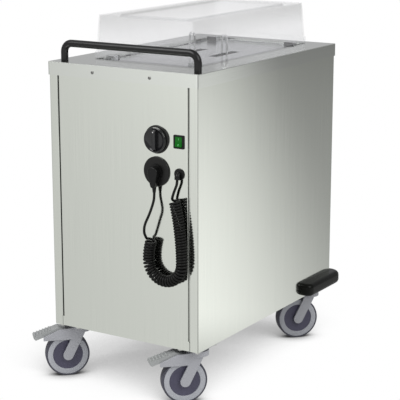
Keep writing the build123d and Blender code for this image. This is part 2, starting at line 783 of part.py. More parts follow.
# ---------------------------------------------------------------- hood
hood_width = well_width + 2 * hood_side_lap
hood_length = well_length + 2 * hood_end_lap
hood_bottom = cabinet_top + rest_gap
hood_top = hood_bottom + hood_height
hood_wall_height = hood_height - hood_skirt
hood_lean = math.degrees(math.atan(hood_taper / hood_wall_height))
hood_shoulder = hood_bottom + hood_skirt
with BuildPart() as hood:
    # outer form: upright skirt, a small step, then leaning walls
    with BuildSketch(Plane.XY.offset(hood_bottom)):
        with Locations((0, well_shift)):
            RectangleRounded(hood_width, hood_length, hood_corner)
    extrude(amount=hood_skirt)
    with BuildSketch(Plane.XY.offset(hood_shoulder)):
        with Locations((0, well_shift)):
            RectangleRounded(hood_width - 2 * hood_step, hood_length - 2 * hood_step, hood_corner)
    extrude(amount=hood_wall_height, taper=hood_lean)
    fillet(hood.faces().sort_by(Axis.Z)[-1].edges(), radius=hood_edge)
    # hollow
    with BuildSketch(Plane.XY.offset(hood_bottom)):
        with Locations((0, well_shift)):
            RectangleRounded(hood_width - 2 * hood_wall, hood_length - 2 * hood_wall,
                             hood_corner - hood_wall)
    extrude(amount=hood_skirt - hood_wall, mode=Mode.SUBTRACT)
    with BuildSketch(Plane.XY.offset(hood_shoulder - hood_wall)):
        with Locations((0, well_shift)):
            RectangleRounded(hood_width - 2 * hood_step - 2 * hood_wall,
                             hood_length - 2 * hood_step - 2 * hood_wall, hood_corner - hood_wall)
    extrude(amount=hood_wall_height, taper=hood_lean, mode=Mode.SUBTRACT)
    # sunken roof panel inside a raised border
    roof_width = hood_width - 2 * hood_step - 2 * hood_taper - 2 * hood_border
    roof_length = hood_length - 2 * hood_step - 2 * hood_taper - 2 * hood_border
    with BuildSketch(Plane.XY.offset(hood_top - hood_recess - hood_wall)):
        with Locations((0, well_shift)):
            RectangleRounded(roof_width + 2 * hood_wall, roof_length + 2 * hood_wall,
                             hood_corner + hood_wall)
    extrude(amount=hood_recess)
    with BuildSketch(Plane.XY.offset(hood_top)):
        with Locations((0, well_shift)):
            RectangleRounded(roof_width, roof_length, hood_corner)
    extrude(amount=-hood_recess, mode=Mode.SUBTRACT)
save(hood, "hood")

# ---------------------------------------------------------------- push handle
handle_base = cabinet_top + handle_foot
bar_level = cabinet_top + handle_rise - handle_tube / 2
with BuildPart() as push_handle:
    with BuildLine():
        FilletPolyline(
            (-handle_half, handle_y, handle_base),
            (-handle_half, handle_y, bar_level),
            (handle_half, handle_y, bar_level),
            (handle_half, handle_y, handle_base),
            radius=handle_bend,
        )
    with BuildSketch(Plane.XY.offset(handle_base)):
        with Locations((-handle_half, handle_y)):
            Circle(handle_tube / 2)
            Circle(handle_tube / 2 - handle_wall, mode=Mode.SUBTRACT)
    sweep()
    with BuildSketch(Plane.XY.offset(cabinet_top)):
        with Locations(*handle_feet):
            Circle(handle_tube / 2)
    extrude(amount=handle_foot)
    with BuildSketch(Plane.XY.offset(cabinet_top)):
        with Locations(*handle_feet):
            Circle(handle_bolt_radius + slide_gap)
    extrude(amount=handle_foot, mode=Mode.SUBTRACT)
save(push_handle, "push_handle")

with BuildPart() as handle_bolts:
    with BuildSketch(Plane.XY.offset(panel_top)):
        with Locations(*handle_feet):
            Circle(handle_bolt_radius)
    extrude(amount=sheet + handle_foot + handle_bolt_end)
    with BuildSketch(Plane.XY.offset(panel_top)):
        with Locations(*handle_feet):
            RegularPolygon(handle_bolt_head_radius, 6)
    extrude(amount=-handle_bolt_head)
save(handle_bolts, "handle_bolts")

# ---------------------------------------------------------------- thermostat and its dial
with BuildPart() as thermostat:
    with BuildSketch(front_plane(dial_x, dial_z, -sheet)):
        RectangleRounded(thermostat_size, thermostat_size, 3)
    extrude(amount=-thermostat_depth)
    with BuildSketch(front_plane(dial_x, dial_z, -sheet)):
        Circle(stem_radius)
    extrude(amount=sheet + dial_bezel_depth + stem_length)
save(thermostat, "thermostat")

with BuildPart() as dial_bezel:
    with BuildSketch(front_plane(dial_x, dial_z)):
        Circle(dial_bezel_radius)
        Circle(stem_radius + stem_gap, mode=Mode.SUBTRACT)
    extrude(amount=dial_bezel_depth)
    chamfer(dial_bezel.edges().filter_by(GeomType.CIRCLE).sort_by(Axis.Y)[:2].sort_by(SortBy.RADIUS)[-1],
            length=dial_bezel_depth / 2)
save(dial_bezel, "dial_bezel")

knob_seat = dial_bezel_depth + rest_gap
with BuildPart() as dial_knob:
    with BuildSketch(front_plane(dial_x, dial_z, knob_seat)):
        Circle(knob_radius)
    extrude(amount=knob_disc)
    fillet(dial_knob.faces().sort_by(Axis.Y)[0].edges(), radius=knob_disc / 3)
    with BuildSketch(front_plane(dial_x, dial_z, knob_seat + knob_disc)):
        SlotOverall(2 * knob_radius - 2 * knob_grip_inset, knob_grip_width, rotation=90)
    extrude(amount=knob_grip_depth, taper=knob_grip_taper)
    fillet(dial_knob.faces().sort_by(Axis.Y)[0].edges(), radius=knob_grip_edge)
    with BuildSketch(front_plane(dial_x, dial_z, knob_seat)):
        Circle(stem_radius + axle_fit)
    extrude(amount=stem_length, mode=Mode.SUBTRACT)
save(dial_knob, "dial_knob")

# ---------------------------------------------------------------- rocker switch
with BuildPart() as switch_body:
    with BuildSketch(front_plane(switch_x, switch_z)):
        RectangleRounded(switch_bezel_width, switch_bezel_height, 3)
    extrude(amount=switch_bezel_depth)
    chamfer(switch_body.faces().sort_by(Axis.Y)[0].edges(), length=1)
    with BuildSketch(front_plane(switch_x, switch_z)):
        Rectangle(switch_body_width, switch_body_height)
    extrude(amount=-switch_body_depth)
    with BuildSketch(front_plane(switch_x, switch_z, switch_bezel_depth)):
        Rectangle(rocker_width + 2 * rocker_side_gap, rocker_height + 2 * rocker_end_gap)
    extrude(amount=-rocker_well, mode=Mode.SUBTRACT)
save(switch_body, "switch_body")

rocker_axis_y = front - switch_bezel_depth + rocker_pivot
rocker_face = rocker_pivot + rocker_proud
with BuildPart() as switch_rocker:
    lean = math.radians(rocker_tilt)
    with BuildSketch(Plane(origin=(switch_x, rocker_axis_y, switch_z),
                           x_dir=(0, -math.cos(lean), math.sin(lean)), z_dir=(-1, 0, 0))):
        with BuildLine():
            Polyline((rocker_face, rocker_height / 2), (-rocker_heel, rocker_height / 2),
                     (-rocker_heel - rocker_ridge, 0), (-rocker_heel, -rocker_height / 2),
                     (rocker_face, -rocker_height / 2))
            ThreePointArc((rocker_face, -rocker_height / 2), (rocker_face - rocker_dish, 0),
                          (rocker_face, rocker_height / 2))
        make_face()
    extrude(amount=rocker_width / 2, both=True)
save(switch_rocker, "switch_rocker")

# ---------------------------------------------------------------- parking socket and plug
with BuildPart() as parking_socket:
    with BuildSketch(front_plane(socket_x, socket_z)):
        Circle(socket_radius)
    extrude(amount=socket_depth)
    fillet(parking_socket.faces().sort_by(Axis.Y)[0].edges(), radius=socket_depth / 2)
    with BuildSketch(front_plane(socket_x, socket_z)):
        Circle(socket_cup_radius + socket_cup_wall)
    extrude(amount=-socket_cup_depth)
    with BuildSketch(front_plane(socket_x, socket_z, socket_depth)):
        Circle(socket_cup_radius)
    extrude(amount=-socket_cup_depth, mode=Mode.SUBTRACT)
save(parking_socket, "parking_socket")

tail_level = socket_z - plug_tail_drop
plug_middle = front - socket_depth - plug_body_depth * plug_tail_place
with BuildPart() as power_plug:
    with BuildSketch(front_plane(socket_x, socket_z, socket_depth)):
        Circle(plug_barrel_radius)
    extrude(amount=-plug_barrel_depth)
    with BuildSketch(front_plane(socket_x, socket_z, socket_depth)):
        Circle(plug_rim_radius)
    extrude(amount=plug_rim)
    with BuildSketch(front_plane(socket_x, socket_z, socket_depth)):
        Circle(plug_head_radius)
        with Locations((0, -plug_tail_drop)):
            Circle(plug_tail_radius)
        make_hull()
    extrude(amount=plug_body_depth)
    fillet(power_plug.faces().sort_by(Axis.Y)[0].edges(), radius=plug_edge)
    with Locations((socket_x, plug_middle, tail_level - relief_length)):
        Cone(relief_end_radius, relief_radius, relief_length, align=(Align.CENTER, Align.CENTER, Align.MIN))
save(power_plug, "power_plug")

# ---------------------------------------------------------------- cable gland with an elbow
gland_start = Vector(gland_x, front - gland_flange, gland_z)
gland_bend_end = gland_start + Vector(0, -gland_bend, -gland_bend)
gland_mouth = gland_bend_end + Vector(0, 0, -gland_snout)
with BuildPart() as cable_gland:
    with BuildSketch(front_plane(gland_x, gland_z)):
        Circle(gland_radius)
    extrude(amount=gland_flange)
    chamfer(cable_gland.faces().sort_by(Axis.Y)[0].edges(), length=gland_flange / 2)
    with BuildSketch(front_plane(gland_x, gland_z)):
        Circle(gland_neck_radius)
    extrude(amount=-sheet - gland_nut)
    with BuildSketch(front_plane(gland_x, gland_z, -sheet)):
        RegularPolygon(gland_nut_radius, 6)
    extrude(amount=-gland_nut)
    with BuildLine():
        TangentArc(gland_start, gland_bend_end, tangent=(0, -1, 0))
        Line(gland_bend_end, gland_mouth)
    with BuildSketch(front_plane(gland_x, gland_z, gland_flange)):
        Circle(gland_elbow_radius)
    sweep()
save(cable_gland, "cable_gland")

# ---------------------------------------------------------------- curly cord
coil_y = front - coil_offset


def coil_point(place):
    return Vector(gland_x + place[0], coil_y, gland_z + place[1])


# the coil's axis: a slight arc down, a half circle and a slight arc up again
with BuildLine() as coil_axis:
    TangentArc(coil_point(coil_right), coil_point(coil_top), tangent=(0, 0, 1))
    ThreePointArc(coil_point(coil_right),
                  coil_point(((coil_right[0] + coil_left[0]) / 2,
                              coil_right[1] - (coil_right[0] - coil_left[0]) / 2)),
                  coil_point(coil_left))
    TangentArc(coil_point(coil_left), coil_point(coil_end), tangent=(0, 0, 1))
down_arc, bend_arc, up_arc = coil_axis.edges()
axis_parts = [(down_arc, True), (bend_arc, False), (up_arc, False)]
outward = Vector(0, -1, 0)

# turns are closer on the inside of a curve, so a curved stretch has fewer of them
turn_weights = [edge.length * (1 - coil_radius / edge.radius) for edge, backwards in axis_parts]
coil_turns = round(sum(turn_weights) / coil_pitch) - coil_start / 360
turns_so_far = [coil_turns * sum(turn_weights[:k]) / sum(turn_weights) for k in range(4)]


def coil_frame(turns):
    """Point and direction of the flex's middle line after so many turns."""
    k = 0
    while k < 2 and turns > turns_so_far[k + 1]:
        k += 1
    edge, backwards = axis_parts[k]
    share = (turns - turns_so_far[k]) / (turns_so_far[k + 1] - turns_so_far[k])
    place = 1 - share if backwards else share
    along = edge.tangent_at(place) * (-1 if backwards else 1)
    across = outward.cross(along)
    angle = math.radians(coil_start + 360 * turns)
    rate = 2 * math.pi * (turns_so_far[k + 1] - turns_so_far[k])
    bow = 1 + coil_radius * math.cos(angle) / edge.radius
    point = ((edge @ place) + across * (coil_radius * math.cos(angle))
             + outward * (coil_radius * math.sin(angle)))
    heading = (along * (edge.length * bow / rate) - across * (coil_radius * math.sin(angle))
               + outward * (coil_radius * math.cos(angle)))
    return point, heading.normalized()


def biarc(start, start_way, end, end_way):
    """Two arcs that leave start along start_way and reach end along end_way."""
    chord = end - start
    both = start_way + end_way
    spread = 2 * (1 - start_way.dot(end_way))
    reach = (-chord.dot(both) + math.sqrt(chord.dot(both) ** 2 + spread * chord.dot(chord))) / spread
    middle = (start + start_way * reach + end - end_way * reach) / 2
    middle_way = (end - end_way * reach - start - start_way * reach).normalized()
    TangentArc(start, middle, tangent=start_way)
    TangentArc(middle, end, tangent=middle_way)


def tail(point, coil_way, lead_way):
    """Where an arc of the tail's radius from lead_way into coil_way has to start."""
    half_turn = math.radians(coil_way.get_angle(lead_way)) / 2
    return point - (coil_way + lead_way) * (tail_radius * math.tan(half_turn))


tilt = math.radians(tail_tilt)
arriving = Vector(0, -math.sin(math.radians(lead_tilt)), -math.cos(math.radians(lead_tilt)))
upper_point, upper_way = coil_frame(0)
lower_point, lower_way = coil_frame(coil_turns)
leaving = Vector(0, -math.sin(tilt), math.cos(tilt))
upper_bend = tail(upper_point, upper_way, arriving)
upper_tail = upper_bend - arriving * cord_diameter
lower_bend = tail(lower_point, lower_way * -1, leaving * -1)
lower_tail = lower_bend + leaving * cord_diameter

half_turns = [k / 2 for k in range(int(2 * coil_turns) + 1)] + [coil_turns]
with BuildPart() as cord_coil:
    with BuildLine() as coil_path:
        Line(upper_tail, upper_bend)
        TangentArc(upper_bend, upper_point, tangent=arriving)
        for here, there in zip(half_turns, half_turns[1:]):
            biarc(*coil_frame(here), *coil_frame(there))
        TangentArc(lower_point, lower_bend, tangent=lower_way)
        Line(lower_bend, lower_tail)
    with BuildSketch(Plane(origin=upper_tail, z_dir=arriving)):
        RegularPolygon(cord_diameter / 2, cord_sides)
    sweep(clean=False)
save(cord_coil, "cord_coil")

arc_samples = 12
samples = [edge @ (k / arc_samples) for edge in coil_path.edges() for k in range(arc_samples)]
one_turn = 4 * arc_samples
least_gap = min((samples[k] - samples[n]).length
                for k in range(len(samples))
                for n in range(k + one_turn // 2, min(k + 2 * one_turn, len(samples)))) - cord_diameter
print(f"coil: {coil_turns} turns, least gap to itself {least_gap:.2f} mm")


def lead(points, name):
    """Round flex along straight runs and arcs, each arc as large as its runs allow."""
    runs = [(b - a).length for a, b in zip(points, points[1:])]
    turns = [math.radians((b - a).get_angle(c - b)) for a, b, c in zip(points, points[1:], points[2:])]
    radii = [0.45 * min(runs[k], runs[k + 1]) / math.tan(turns[k] / 2) for k in range(len(turns))]
    with BuildPart() as flex:
        with BuildLine() as route:
            FilletPolyline(*points, radius=radii)
        with BuildSketch(Plane(origin=points[0], z_dir=points[1] - points[0])):
            Circle(cord_diameter / 2)
        sweep()
    full = math.pi * cord_diameter ** 2 / 4 * route.wire().length
    print(f"{name}: {route.wire().length:.1f} mm, radii {[round(r, 1) for r in radii]}, "
          f"volume {flex.part.volume / full:.4f} of section times length")
    return flex


plug_mouth = Vector(socket_x, plug_middle, tail_level - relief_length)
lead_plane = front - lead_bulge
# the upper lead hangs straight down from the gland, then leans out to the coil
lean_out = (gland_mouth.Y - upper_tail.Y) / math.sin(math.radians(lead_tilt))
cord_lead_gland = lead([
    gland_mouth,
    gland_mouth - Vector(0, 0, gland_first_run),
    upper_tail - arriving * lean_out,
    upper_tail,
], "cord_lead_gland")
save(cord_lead_gland, "cord_lead_gland")

cord_lead_plug = lead([
    lower_tail,
    lower_tail + leaving * lead_first_run,
    Vector(socket_x + lead_way[0][0], lead_plane, socket_z + lead_way[0][1]),
    Vector(socket_x + lead_way[1][0], lead_plane + lead_inward, socket_z + lead_way[1][1]),
    Vector(socket_x + lead_way[2][0], plug_middle - lead_inward, socket_z + lead_way[2][1]),
    Vector(socket_x, plug_middle, plug_mouth.Z - lead_last_run),
    plug_mouth,
], "cord_lead_plug")
save(cord_lead_plug, "cord_lead_plug")

# ---------------------------------------------------------------- rear corner bumpers
bumper_bottom = caster_height - bumper_drop
with BuildPart() as bumper_right:
    with BuildSketch(Plane.XY.offset(bumper_bottom)):
        with BuildLine():
            Polyline(
                (side, rear),
                (side, rear - bumper_side_leg),
                (side + bumper_depth, rear - bumper_side_leg),
                (side + bumper_depth, rear + bumper_depth),
                (side - bumper_rear_leg, rear + bumper_depth),
                (side - bumper_rear_leg, rear),
                close=True,
            )
        make_face()
    extrude(amount=bumper_height)
    uprights = bumper_right.edges().filter_by(Axis.Z)
    fillet(uprights.sort_by_distance((2 * side, 2 * rear, bumper_bottom))[0], radius=bumper_corner)
    outer_ends = [(side + bumper_depth, rear - bumper_side_leg),
                  (side - bumper_rear_leg, rear + bumper_depth)]
    for x, y in outer_ends:
        uprights = bumper_right.edges().filter_by(Axis.Z)
        fillet(uprights.sort_by_distance((x, y, bumper_bottom + bumper_height / 2))[0],
               radius=bumper_end_corner)
    for face, radius in ((-1, bumper_top_round), (0, bumper_foot_round)):
        rim = bumper_right.faces().sort_by(Axis.Z)[face].edges()
        fillet(rim.filter_by(lambda edge: edge.center().X > side + 1 or edge.center().Y > rear + 1),
               radius=radius)
save(bumper_right, "bumper_right")

with BuildPart() as bumper_left:
    mirror(bumper_right.part, about=Plane.YZ)
save(bumper_left, "bumper_left")

# ---------------------------------------------------------------- casters: fixed plates and bolts
plate_bottom = caster_height - plate_thickness
bearing_bottom = plate_bottom - bearing_height
with BuildPart() as caster_plates:
    with BuildSketch(Plane.XY.offset(plate_bottom)):
        with GridLocations(*caster_spread, 2, 2):
            RectangleRounded(plate_width, plate_length, plate_corner)
            with GridLocations(plate_bolt_x, plate_bolt_y, 2, 2):
                Circle(bolt_radius, mode=Mode.SUBTRACT)
    extrude(amount=plate_thickness)
    with BuildSketch(Plane.XY.offset(plate_bottom)):
        with GridLocations(*caster_spread, 2, 2):
            Circle(bearing_radius)
    extrude(amount=-bearing_height, taper=bearing_taper)
    with BuildSketch(Plane.XY.offset(plate_bottom)):
        with GridLocations(*caster_spread, 2, 2):
            Circle(kingpin_radius)
    extrude(amount=-bearing_height - kingpin_length)
save(caster_plates, "caster_plates")

with BuildPart() as caster_bolts:
    for level, height in ((plate_bottom, -bolt_head), (base_top, bolt_nut)):
        with BuildSketch(Plane.XY.offset(level)):
            with GridLocations(*caster_spread, 2, 2):
                with GridLocations(plate_bolt_x, plate_bolt_y, 2, 2):
                    RegularPolygon(bolt_head_radius, 6)
        extrude(amount=height)
    with BuildSketch(Plane.XY.offset(plate_bottom)):
        with GridLocations(*caster_spread, 2, 2):
            with GridLocations(plate_bolt_x, plate_bolt_y, 2, 2):
                Circle(bolt_radius)
    extrude(amount=plate_thickness + base_thickness + bolt_end)
save(caster_bolts, "caster_bolts")

# ---------------------------------------------------------------- casters: moving pieces
# Modelled about the swivel axis at X = Y = 0, with the wheel trailing towards -X.
half_wheel = wheel_width / 2
fork_inner = half_wheel + fork_gap
fork_outer = fork_inner + fork_arm
pin_end = fork_outer - axle_cover
crown_top = bearing_bottom - rest_gap
crown_bottom = crown_top - fork_crown
cowl_bottom = wheel_top - cowl_drop
axle_place = (-caster_trail, wheel_radius)
pivot_place = (-caster_trail - pedal_pivot[0], wheel_top + pedal_pivot[1])


def fork_with(cowl):
    """A crown on two leaning arms; a braked caster's arms carry the cheeks of its cowl."""
    with BuildPart() as fork:
        with BuildSketch(Plane.XZ.offset(-fork_outer)):
            with Locations(axle_place, (-fork_arm_lean, crown_bottom)):
                Circle(fork_arm_width / 2)
            make_hull()
            if cowl:
                with BuildLine():
                    Polyline(
                        (-caster_trail - cowl_reach, cowl_bottom),
                        (-caster_trail - cowl_reach, cowl_bottom + cowl_tip),
                        (-caster_trail - cowl_shoulder[0], wheel_top + cowl_shoulder[1]),
                        (-fork_arm_lean, crown_bottom + fork_arm_width / 2),
                        (-fork_arm_lean, cowl_bottom),
                        close=True,
                    )
                make_face()
        extrude(amount=fork_arm)
        mirror(about=Plane.XZ)
        with BuildSketch(Plane.XY.offset(crown_bottom)):
            Circle(fork_crown_radius)
        extrude(amount=fork_crown)
        with BuildSketch(Plane.XY.offset(crown_bottom)):
            Circle(kingpin_radius + slide_gap)
        extrude(amount=fork_crown, mode=Mode.SUBTRACT)
        with BuildSketch(Plane.XZ.offset(-pin_end)):
            with Locations(axle_place):
                Circle(axle_radius)
            if cowl:
                with Locations(pivot_place):
                    Circle(pedal_pin_radius + axle_fit)
        extrude(amount=2 * pin_end, mode=Mode.SUBTRACT)
    return fork


plain_fork = fork_with(cowl=False)
brake_fork = fork_with(cowl=True)

with BuildPart() as axle:
    with BuildSketch(Plane.XZ.offset(-pin_end)):
        with Locations(axle_place):
            Circle(axle_radius)
    extrude(amount=2 * pin_end)

hub_half = fork_inner - rest_gap
wheel_axis = Axis((-caster_trail, 0, wheel_radius), (0, 1, 0))
with BuildPart() as wheel:
    for radius, half_width in ((rim_radius, half_wheel), (hub_boss, hub_half)):
        with BuildSketch(Plane.XZ.offset(-half_width)):
            with Locations(axle_place):
                Circle(radius)
        extrude(amount=2 * half_width)
    for face_y in (-half_wheel, half_wheel):
        with BuildSketch(Plane.XZ.offset(-face_y)):
            with Locations(axle_place):
                Circle(hub_radius)
                Circle(hub_boss, mode=Mode.SUBTRACT)
        extrude(amount=math.copysign(hub_recess, face_y), mode=Mode.SUBTRACT)
    with BuildSketch(Plane.XZ.offset(-hub_half)):
        with Locations(axle_place):
            Circle(axle_radius + axle_fit)
    extrude(amount=2 * hub_half, mode=Mode.SUBTRACT)

with BuildPart() as tyre:
    with BuildSketch(Plane.XY.offset(wheel_radius)):
        with BuildLine():
            inner_edge = rim_radius - caster_trail
            outer_edge = wheel_radius - tyre_shoulder - caster_trail
            Polyline((outer_edge, half_wheel), (inner_edge, half_wheel),
                     (inner_edge, -half_wheel), (outer_edge, -half_wheel))
            ThreePointArc((outer_edge, -half_wheel), (wheel_radius - caster_trail, 0),
                          (outer_edge, half_wheel))
        make_face()
    revolve(axis=wheel_axis)

# brake pedal: a ribbed tread, a pin between the cheeks and a shoe above the tyre
tip_x = -caster_trail - pedal_reach
tip_z = wheel_top + pedal_low
tread_end = -caster_trail - pedal_tread_end
tread_z = wheel_top + pedal_high
tread_slope = (tread_z - tip_z) / (tread_end - tip_x)
shoe_z = wheel_radius + math.sqrt(wheel_radius ** 2 - shoe_setback ** 2) + shoe_gap
half_pedal = pedal_width / 2
with BuildPart() as pedal:
    with BuildSketch(Plane.XZ.offset(-half_pedal)):
        with Locations(pivot_place, (tread_end, tread_z - pedal_boss)):
            Circle(pedal_boss)
        make_hull()
    extrude(amount=pedal_width)
    with BuildSketch(Plane.XZ.offset(-half_pedal)):
        with BuildLine():
            Polyline(
                (tip_x, tip_z),
                (tread_end, tread_z),
                (tread_end, tread_z - pedal_thickness),
                (tip_x + pedal_thickness / 2, tip_z - pedal_thickness),
                (tip_x, tip_z - pedal_thickness / 2),
                close=True,
            )
        make_face()
        with Locations((-caster_trail - shoe_setback, shoe_z)):
            Rectangle(brake_shoe_width, brake_shoe_width, align=(Align.CENTER, Align.MIN))
    extrude(amount=pedal_width)
    tread_face = Plane(origin=(tip_x, 0, tip_z), x_dir=(1, 0, tread_slope), z_dir=(-tread_slope, 0, 1))
    with BuildSketch(tread_face):
        with Locations(*[(pedal_lip + k * pedal_rib_step, 0) for k in range(pedal_ribs)]):
            Rectangle(pedal_rib_step / 2, pedal_width - pedal_lip)
    extrude(amount=pedal_rib)
    with BuildSketch(Plane.XZ.offset(-pin_end)):
        with Locations(pivot_place):
            Circle(pedal_pin_radius)
    extrude(amount=2 * pin_end)

# ---------------------------------------------------------------- casters in their places
pivot_x = side - caster_inset_x
pivot_y = rear - caster_inset_y
corners = {"fl": (-pivot_x, -pivot_y), "fr": (pivot_x, -pivot_y),
           "rl": (-pivot_x, pivot_y), "rr": (pivot_x, pivot_y)}
for corner, (x, y) in corners.items():
    place = Location((x, y, 0), (0, 0, caster_yaw))
    braked = y < 0
    pieces = {
        f"caster_{corner}_fork": brake_fork if braked else plain_fork,
        f"caster_{corner}_axle": axle,
        f"caster_{corner}_wheel": wheel,
        f"caster_{corner}_tyre": tyre,
    }
    if braked:
        pieces["brake_pedal_left" if x < 0 else "brake_pedal_right"] = pedal
    for name, piece in pieces.items():
        placed = piece.part.moved(place)
        placed.label = name
        export_step(placed, f"parts/{name}.step")
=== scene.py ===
"""Heated plate dispenser cart: finishes, curly lead, and the pieces that need finer shapes."""
import math
import bpy
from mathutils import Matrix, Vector


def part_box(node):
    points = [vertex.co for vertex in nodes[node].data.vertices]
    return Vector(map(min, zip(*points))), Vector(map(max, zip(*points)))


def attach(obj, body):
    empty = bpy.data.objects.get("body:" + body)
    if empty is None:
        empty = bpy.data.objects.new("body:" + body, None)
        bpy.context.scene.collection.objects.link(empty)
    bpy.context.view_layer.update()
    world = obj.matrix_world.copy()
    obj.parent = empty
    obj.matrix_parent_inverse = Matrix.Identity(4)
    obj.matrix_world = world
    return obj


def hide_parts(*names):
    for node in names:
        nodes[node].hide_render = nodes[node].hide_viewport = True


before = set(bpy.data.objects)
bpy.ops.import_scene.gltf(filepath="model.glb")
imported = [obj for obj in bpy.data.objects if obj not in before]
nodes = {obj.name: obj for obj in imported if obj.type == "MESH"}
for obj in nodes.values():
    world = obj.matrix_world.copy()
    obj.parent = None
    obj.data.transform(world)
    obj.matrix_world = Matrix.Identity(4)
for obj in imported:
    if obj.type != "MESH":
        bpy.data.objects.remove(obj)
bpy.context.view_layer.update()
scene = bpy.context.scene

# ---------------------------------------------------------------- camera
camera_place = (2.0946, -3.3144, 1.4036)
camera_yaw = math.radians(32.236)
camera_pitch = math.radians(13.414)
camera_lens = 124.9

bpy.ops.object.select_all(action="DESELECT")
bpy.ops.object.camera_add(location=camera_place,
                          rotation=(math.radians(90) - camera_pitch, 0, camera_yaw))
camera = bpy.context.object
camera.data.lens = camera_lens
camera.data.sensor_width = 36
scene.camera = camera

# ---------------------------------------------------------------- modelling helpers
bevel_angle = 35


def deselect():
    if bpy.context.object and bpy.context.object.mode != "OBJECT":
        bpy.ops.object.mode_set(mode="OBJECT")
    bpy.ops.object.select_all(action="DESELECT")


def only(piece):
    deselect()
    piece.select_set(True)
    bpy.context.view_layer.objects.active = piece


def settle(piece):
    """Put the piece's place, turn and size into its mesh."""
    only(piece)
    bpy.ops.object.transform_apply(location=True, rotation=True, scale=True)


def block(name, low, high):
    deselect()
    middle = [(a + b) / 2 for a, b in zip(low, high)]
    bpy.ops.mesh.primitive_cube_add(size=1, location=middle)
    piece = bpy.context.object
    piece.name = name
    piece.scale = [b - a for a, b in zip(low, high)]
    settle(piece)
    return piece


def rod(name, start, end, radius):
    """A closed round rod from start to end."""
    deselect()
    bpy.ops.mesh.primitive_cylinder_add(vertices=32, radius=radius, depth=(end - start).length,
                                        location=(start + end) / 2,
                                        rotation=(end - start).to_track_quat("Z", "Y").to_euler())
    piece = bpy.context.object
    piece.name = name
    settle(piece)
    return piece


def smooth(piece, angle):
    only(piece)
    bpy.ops.object.shade_smooth_by_angle(angle=math.radians(angle))
    return piece


def bevel(piece, width, segments):
    """Round every edge that is sharper than the bevel angle."""
    only(piece)
    rounding = piece.modifiers.new("rounding", "BEVEL")
    rounding.width = width
    rounding.segments = segments
    rounding.limit_method = "ANGLE"
    rounding.angle_limit = math.radians(bevel_angle)
    bpy.ops.object.modifier_apply(modifier="rounding")
    return smooth(piece, bevel_angle)


def lathe(name, profile, origin, axis, steps):
    """Spin a profile of (radius, place along the axis) points round the axis through origin."""
    deselect()
    bpy.ops.mesh.primitive_circle_add(vertices=len(profile), radius=1)
    piece = bpy.context.object
    piece.name = name
    for vertex, (radius, along) in zip(piece.data.vertices, profile):
        vertex.co = (radius, 0, along)
    bpy.ops.object.mode_set(mode="EDIT")
    bpy.ops.mesh.select_all(action="SELECT")
    bpy.ops.mesh.spin(steps=steps, angle=math.radians(360), center=(0, 0, 0), axis=(0, 0, 1))
    bpy.ops.mesh.select_all(action="SELECT")
    bpy.ops.mesh.remove_doubles(threshold=1e-6)
    bpy.ops.mesh.normals_make_consistent(inside=False)
    bpy.ops.object.mode_set(mode="OBJECT")
    piece.rotation_euler = Vector(axis).to_track_quat("Z", "Y").to_euler()
    piece.location = origin
    settle(piece)
    return smooth(piece, 30)


def tube(name, points, radius, corner, sides):
    """A round tube along straight runs with arcs of the corner radius between them."""
    points = [Vector(p) for p in points]
    path = [points[0]]
    for before, here, after in zip(points, points[1:], points[2:]):
        first = (before - here).normalized()
        second = (after - here).normalized()
        half = first.angle(second) / 2
        cut = corner / math.tan(half)
        centre = here + (first + second).normalized() * (corner / math.sin(half))
        start, end = here + first * cut - centre, here + second * cut - centre
        steps = 12
        for k in range(steps + 1):
            path.append(centre + start.slerp(end, k / steps) * corner)
    path.append(points[-1])
    deselect()
    bpy.ops.curve.primitive_bezier_curve_add()
    wire = bpy.context.object
    wire.name = name
    wire.location = (0, 0, 0)
    wire.data.splines.clear()
    line = wire.data.splines.new("POLY")
    line.points.add(len(path) - 1)
    for point, place in zip(line.points, path):
        point.co = (*place, 1)
    wire.data.dimensions = "3D"
    wire.data.bevel_depth = radius
    wire.data.bevel_resolution = sides // 4 - 1
    wire.data.use_fill_caps = True
    only(wire)
    bpy.ops.object.convert(target="MESH")
    piece = bpy.context.object
    settle(piece)
    return smooth(piece, 40)


def cut_away(piece, cutter):
    """Take the cutter's volume out of the piece, and remove the cutter."""
    only(piece)
    cut = piece.modifiers.new("cut", "BOOLEAN")
    cut.operation = "DIFFERENCE"
    cut.object = cutter
    bpy.ops.object.modifier_apply(modifier="cut")
    bpy.data.objects.remove(cutter)


def join(pieces, name):
    deselect()
    for piece in pieces:
        piece.select_set(True)
    bpy.context.view_layer.objects.active = pieces[0]
    bpy.ops.object.join()
    pieces[0].name = name
    return pieces[0]


def wear(piece, *materials):
    piece.data.materials.clear()
    for material in materials:
        piece.data.materials.append(material)
    return piece


# ---------------------------------------------------------------- materials


def surface(name, color, roughness, metallic=0.0, specular=0.5):
    material = bpy.data.materials.new(name)
    material.use_nodes = True
    shader = material.node_tree.nodes["Principled BSDF"]
    shader.inputs["Base Color"].default_value = (*color, 1)
    shader.inputs["Roughness"].default_value = roughness
    shader.inputs["Metallic"].default_value = metallic
    shader.inputs["Specular IOR Level"].default_value = specular
    return material


def noise(material, scale, stretch=(1, 1, 1), detail=3.0):
    """A noise pattern in real lengths, stretched along an axis for grain; returns its node."""
    tree = material.node_tree
    place = tree.nodes.new("ShaderNodeTexCoord")
    mapping = tree.nodes.new("ShaderNodeMapping")
    mapping.inputs["Scale"].default_value = stretch
    pattern = tree.nodes.new("ShaderNodeTexNoise")
    pattern.inputs["Scale"].default_value = scale
    pattern.inputs["Detail"].default_value = detail
    tree.links.new(place.outputs["Object"], mapping.inputs["Vector"])
    tree.links.new(mapping.outputs["Vector"], pattern.inputs["Vector"])
    return pattern


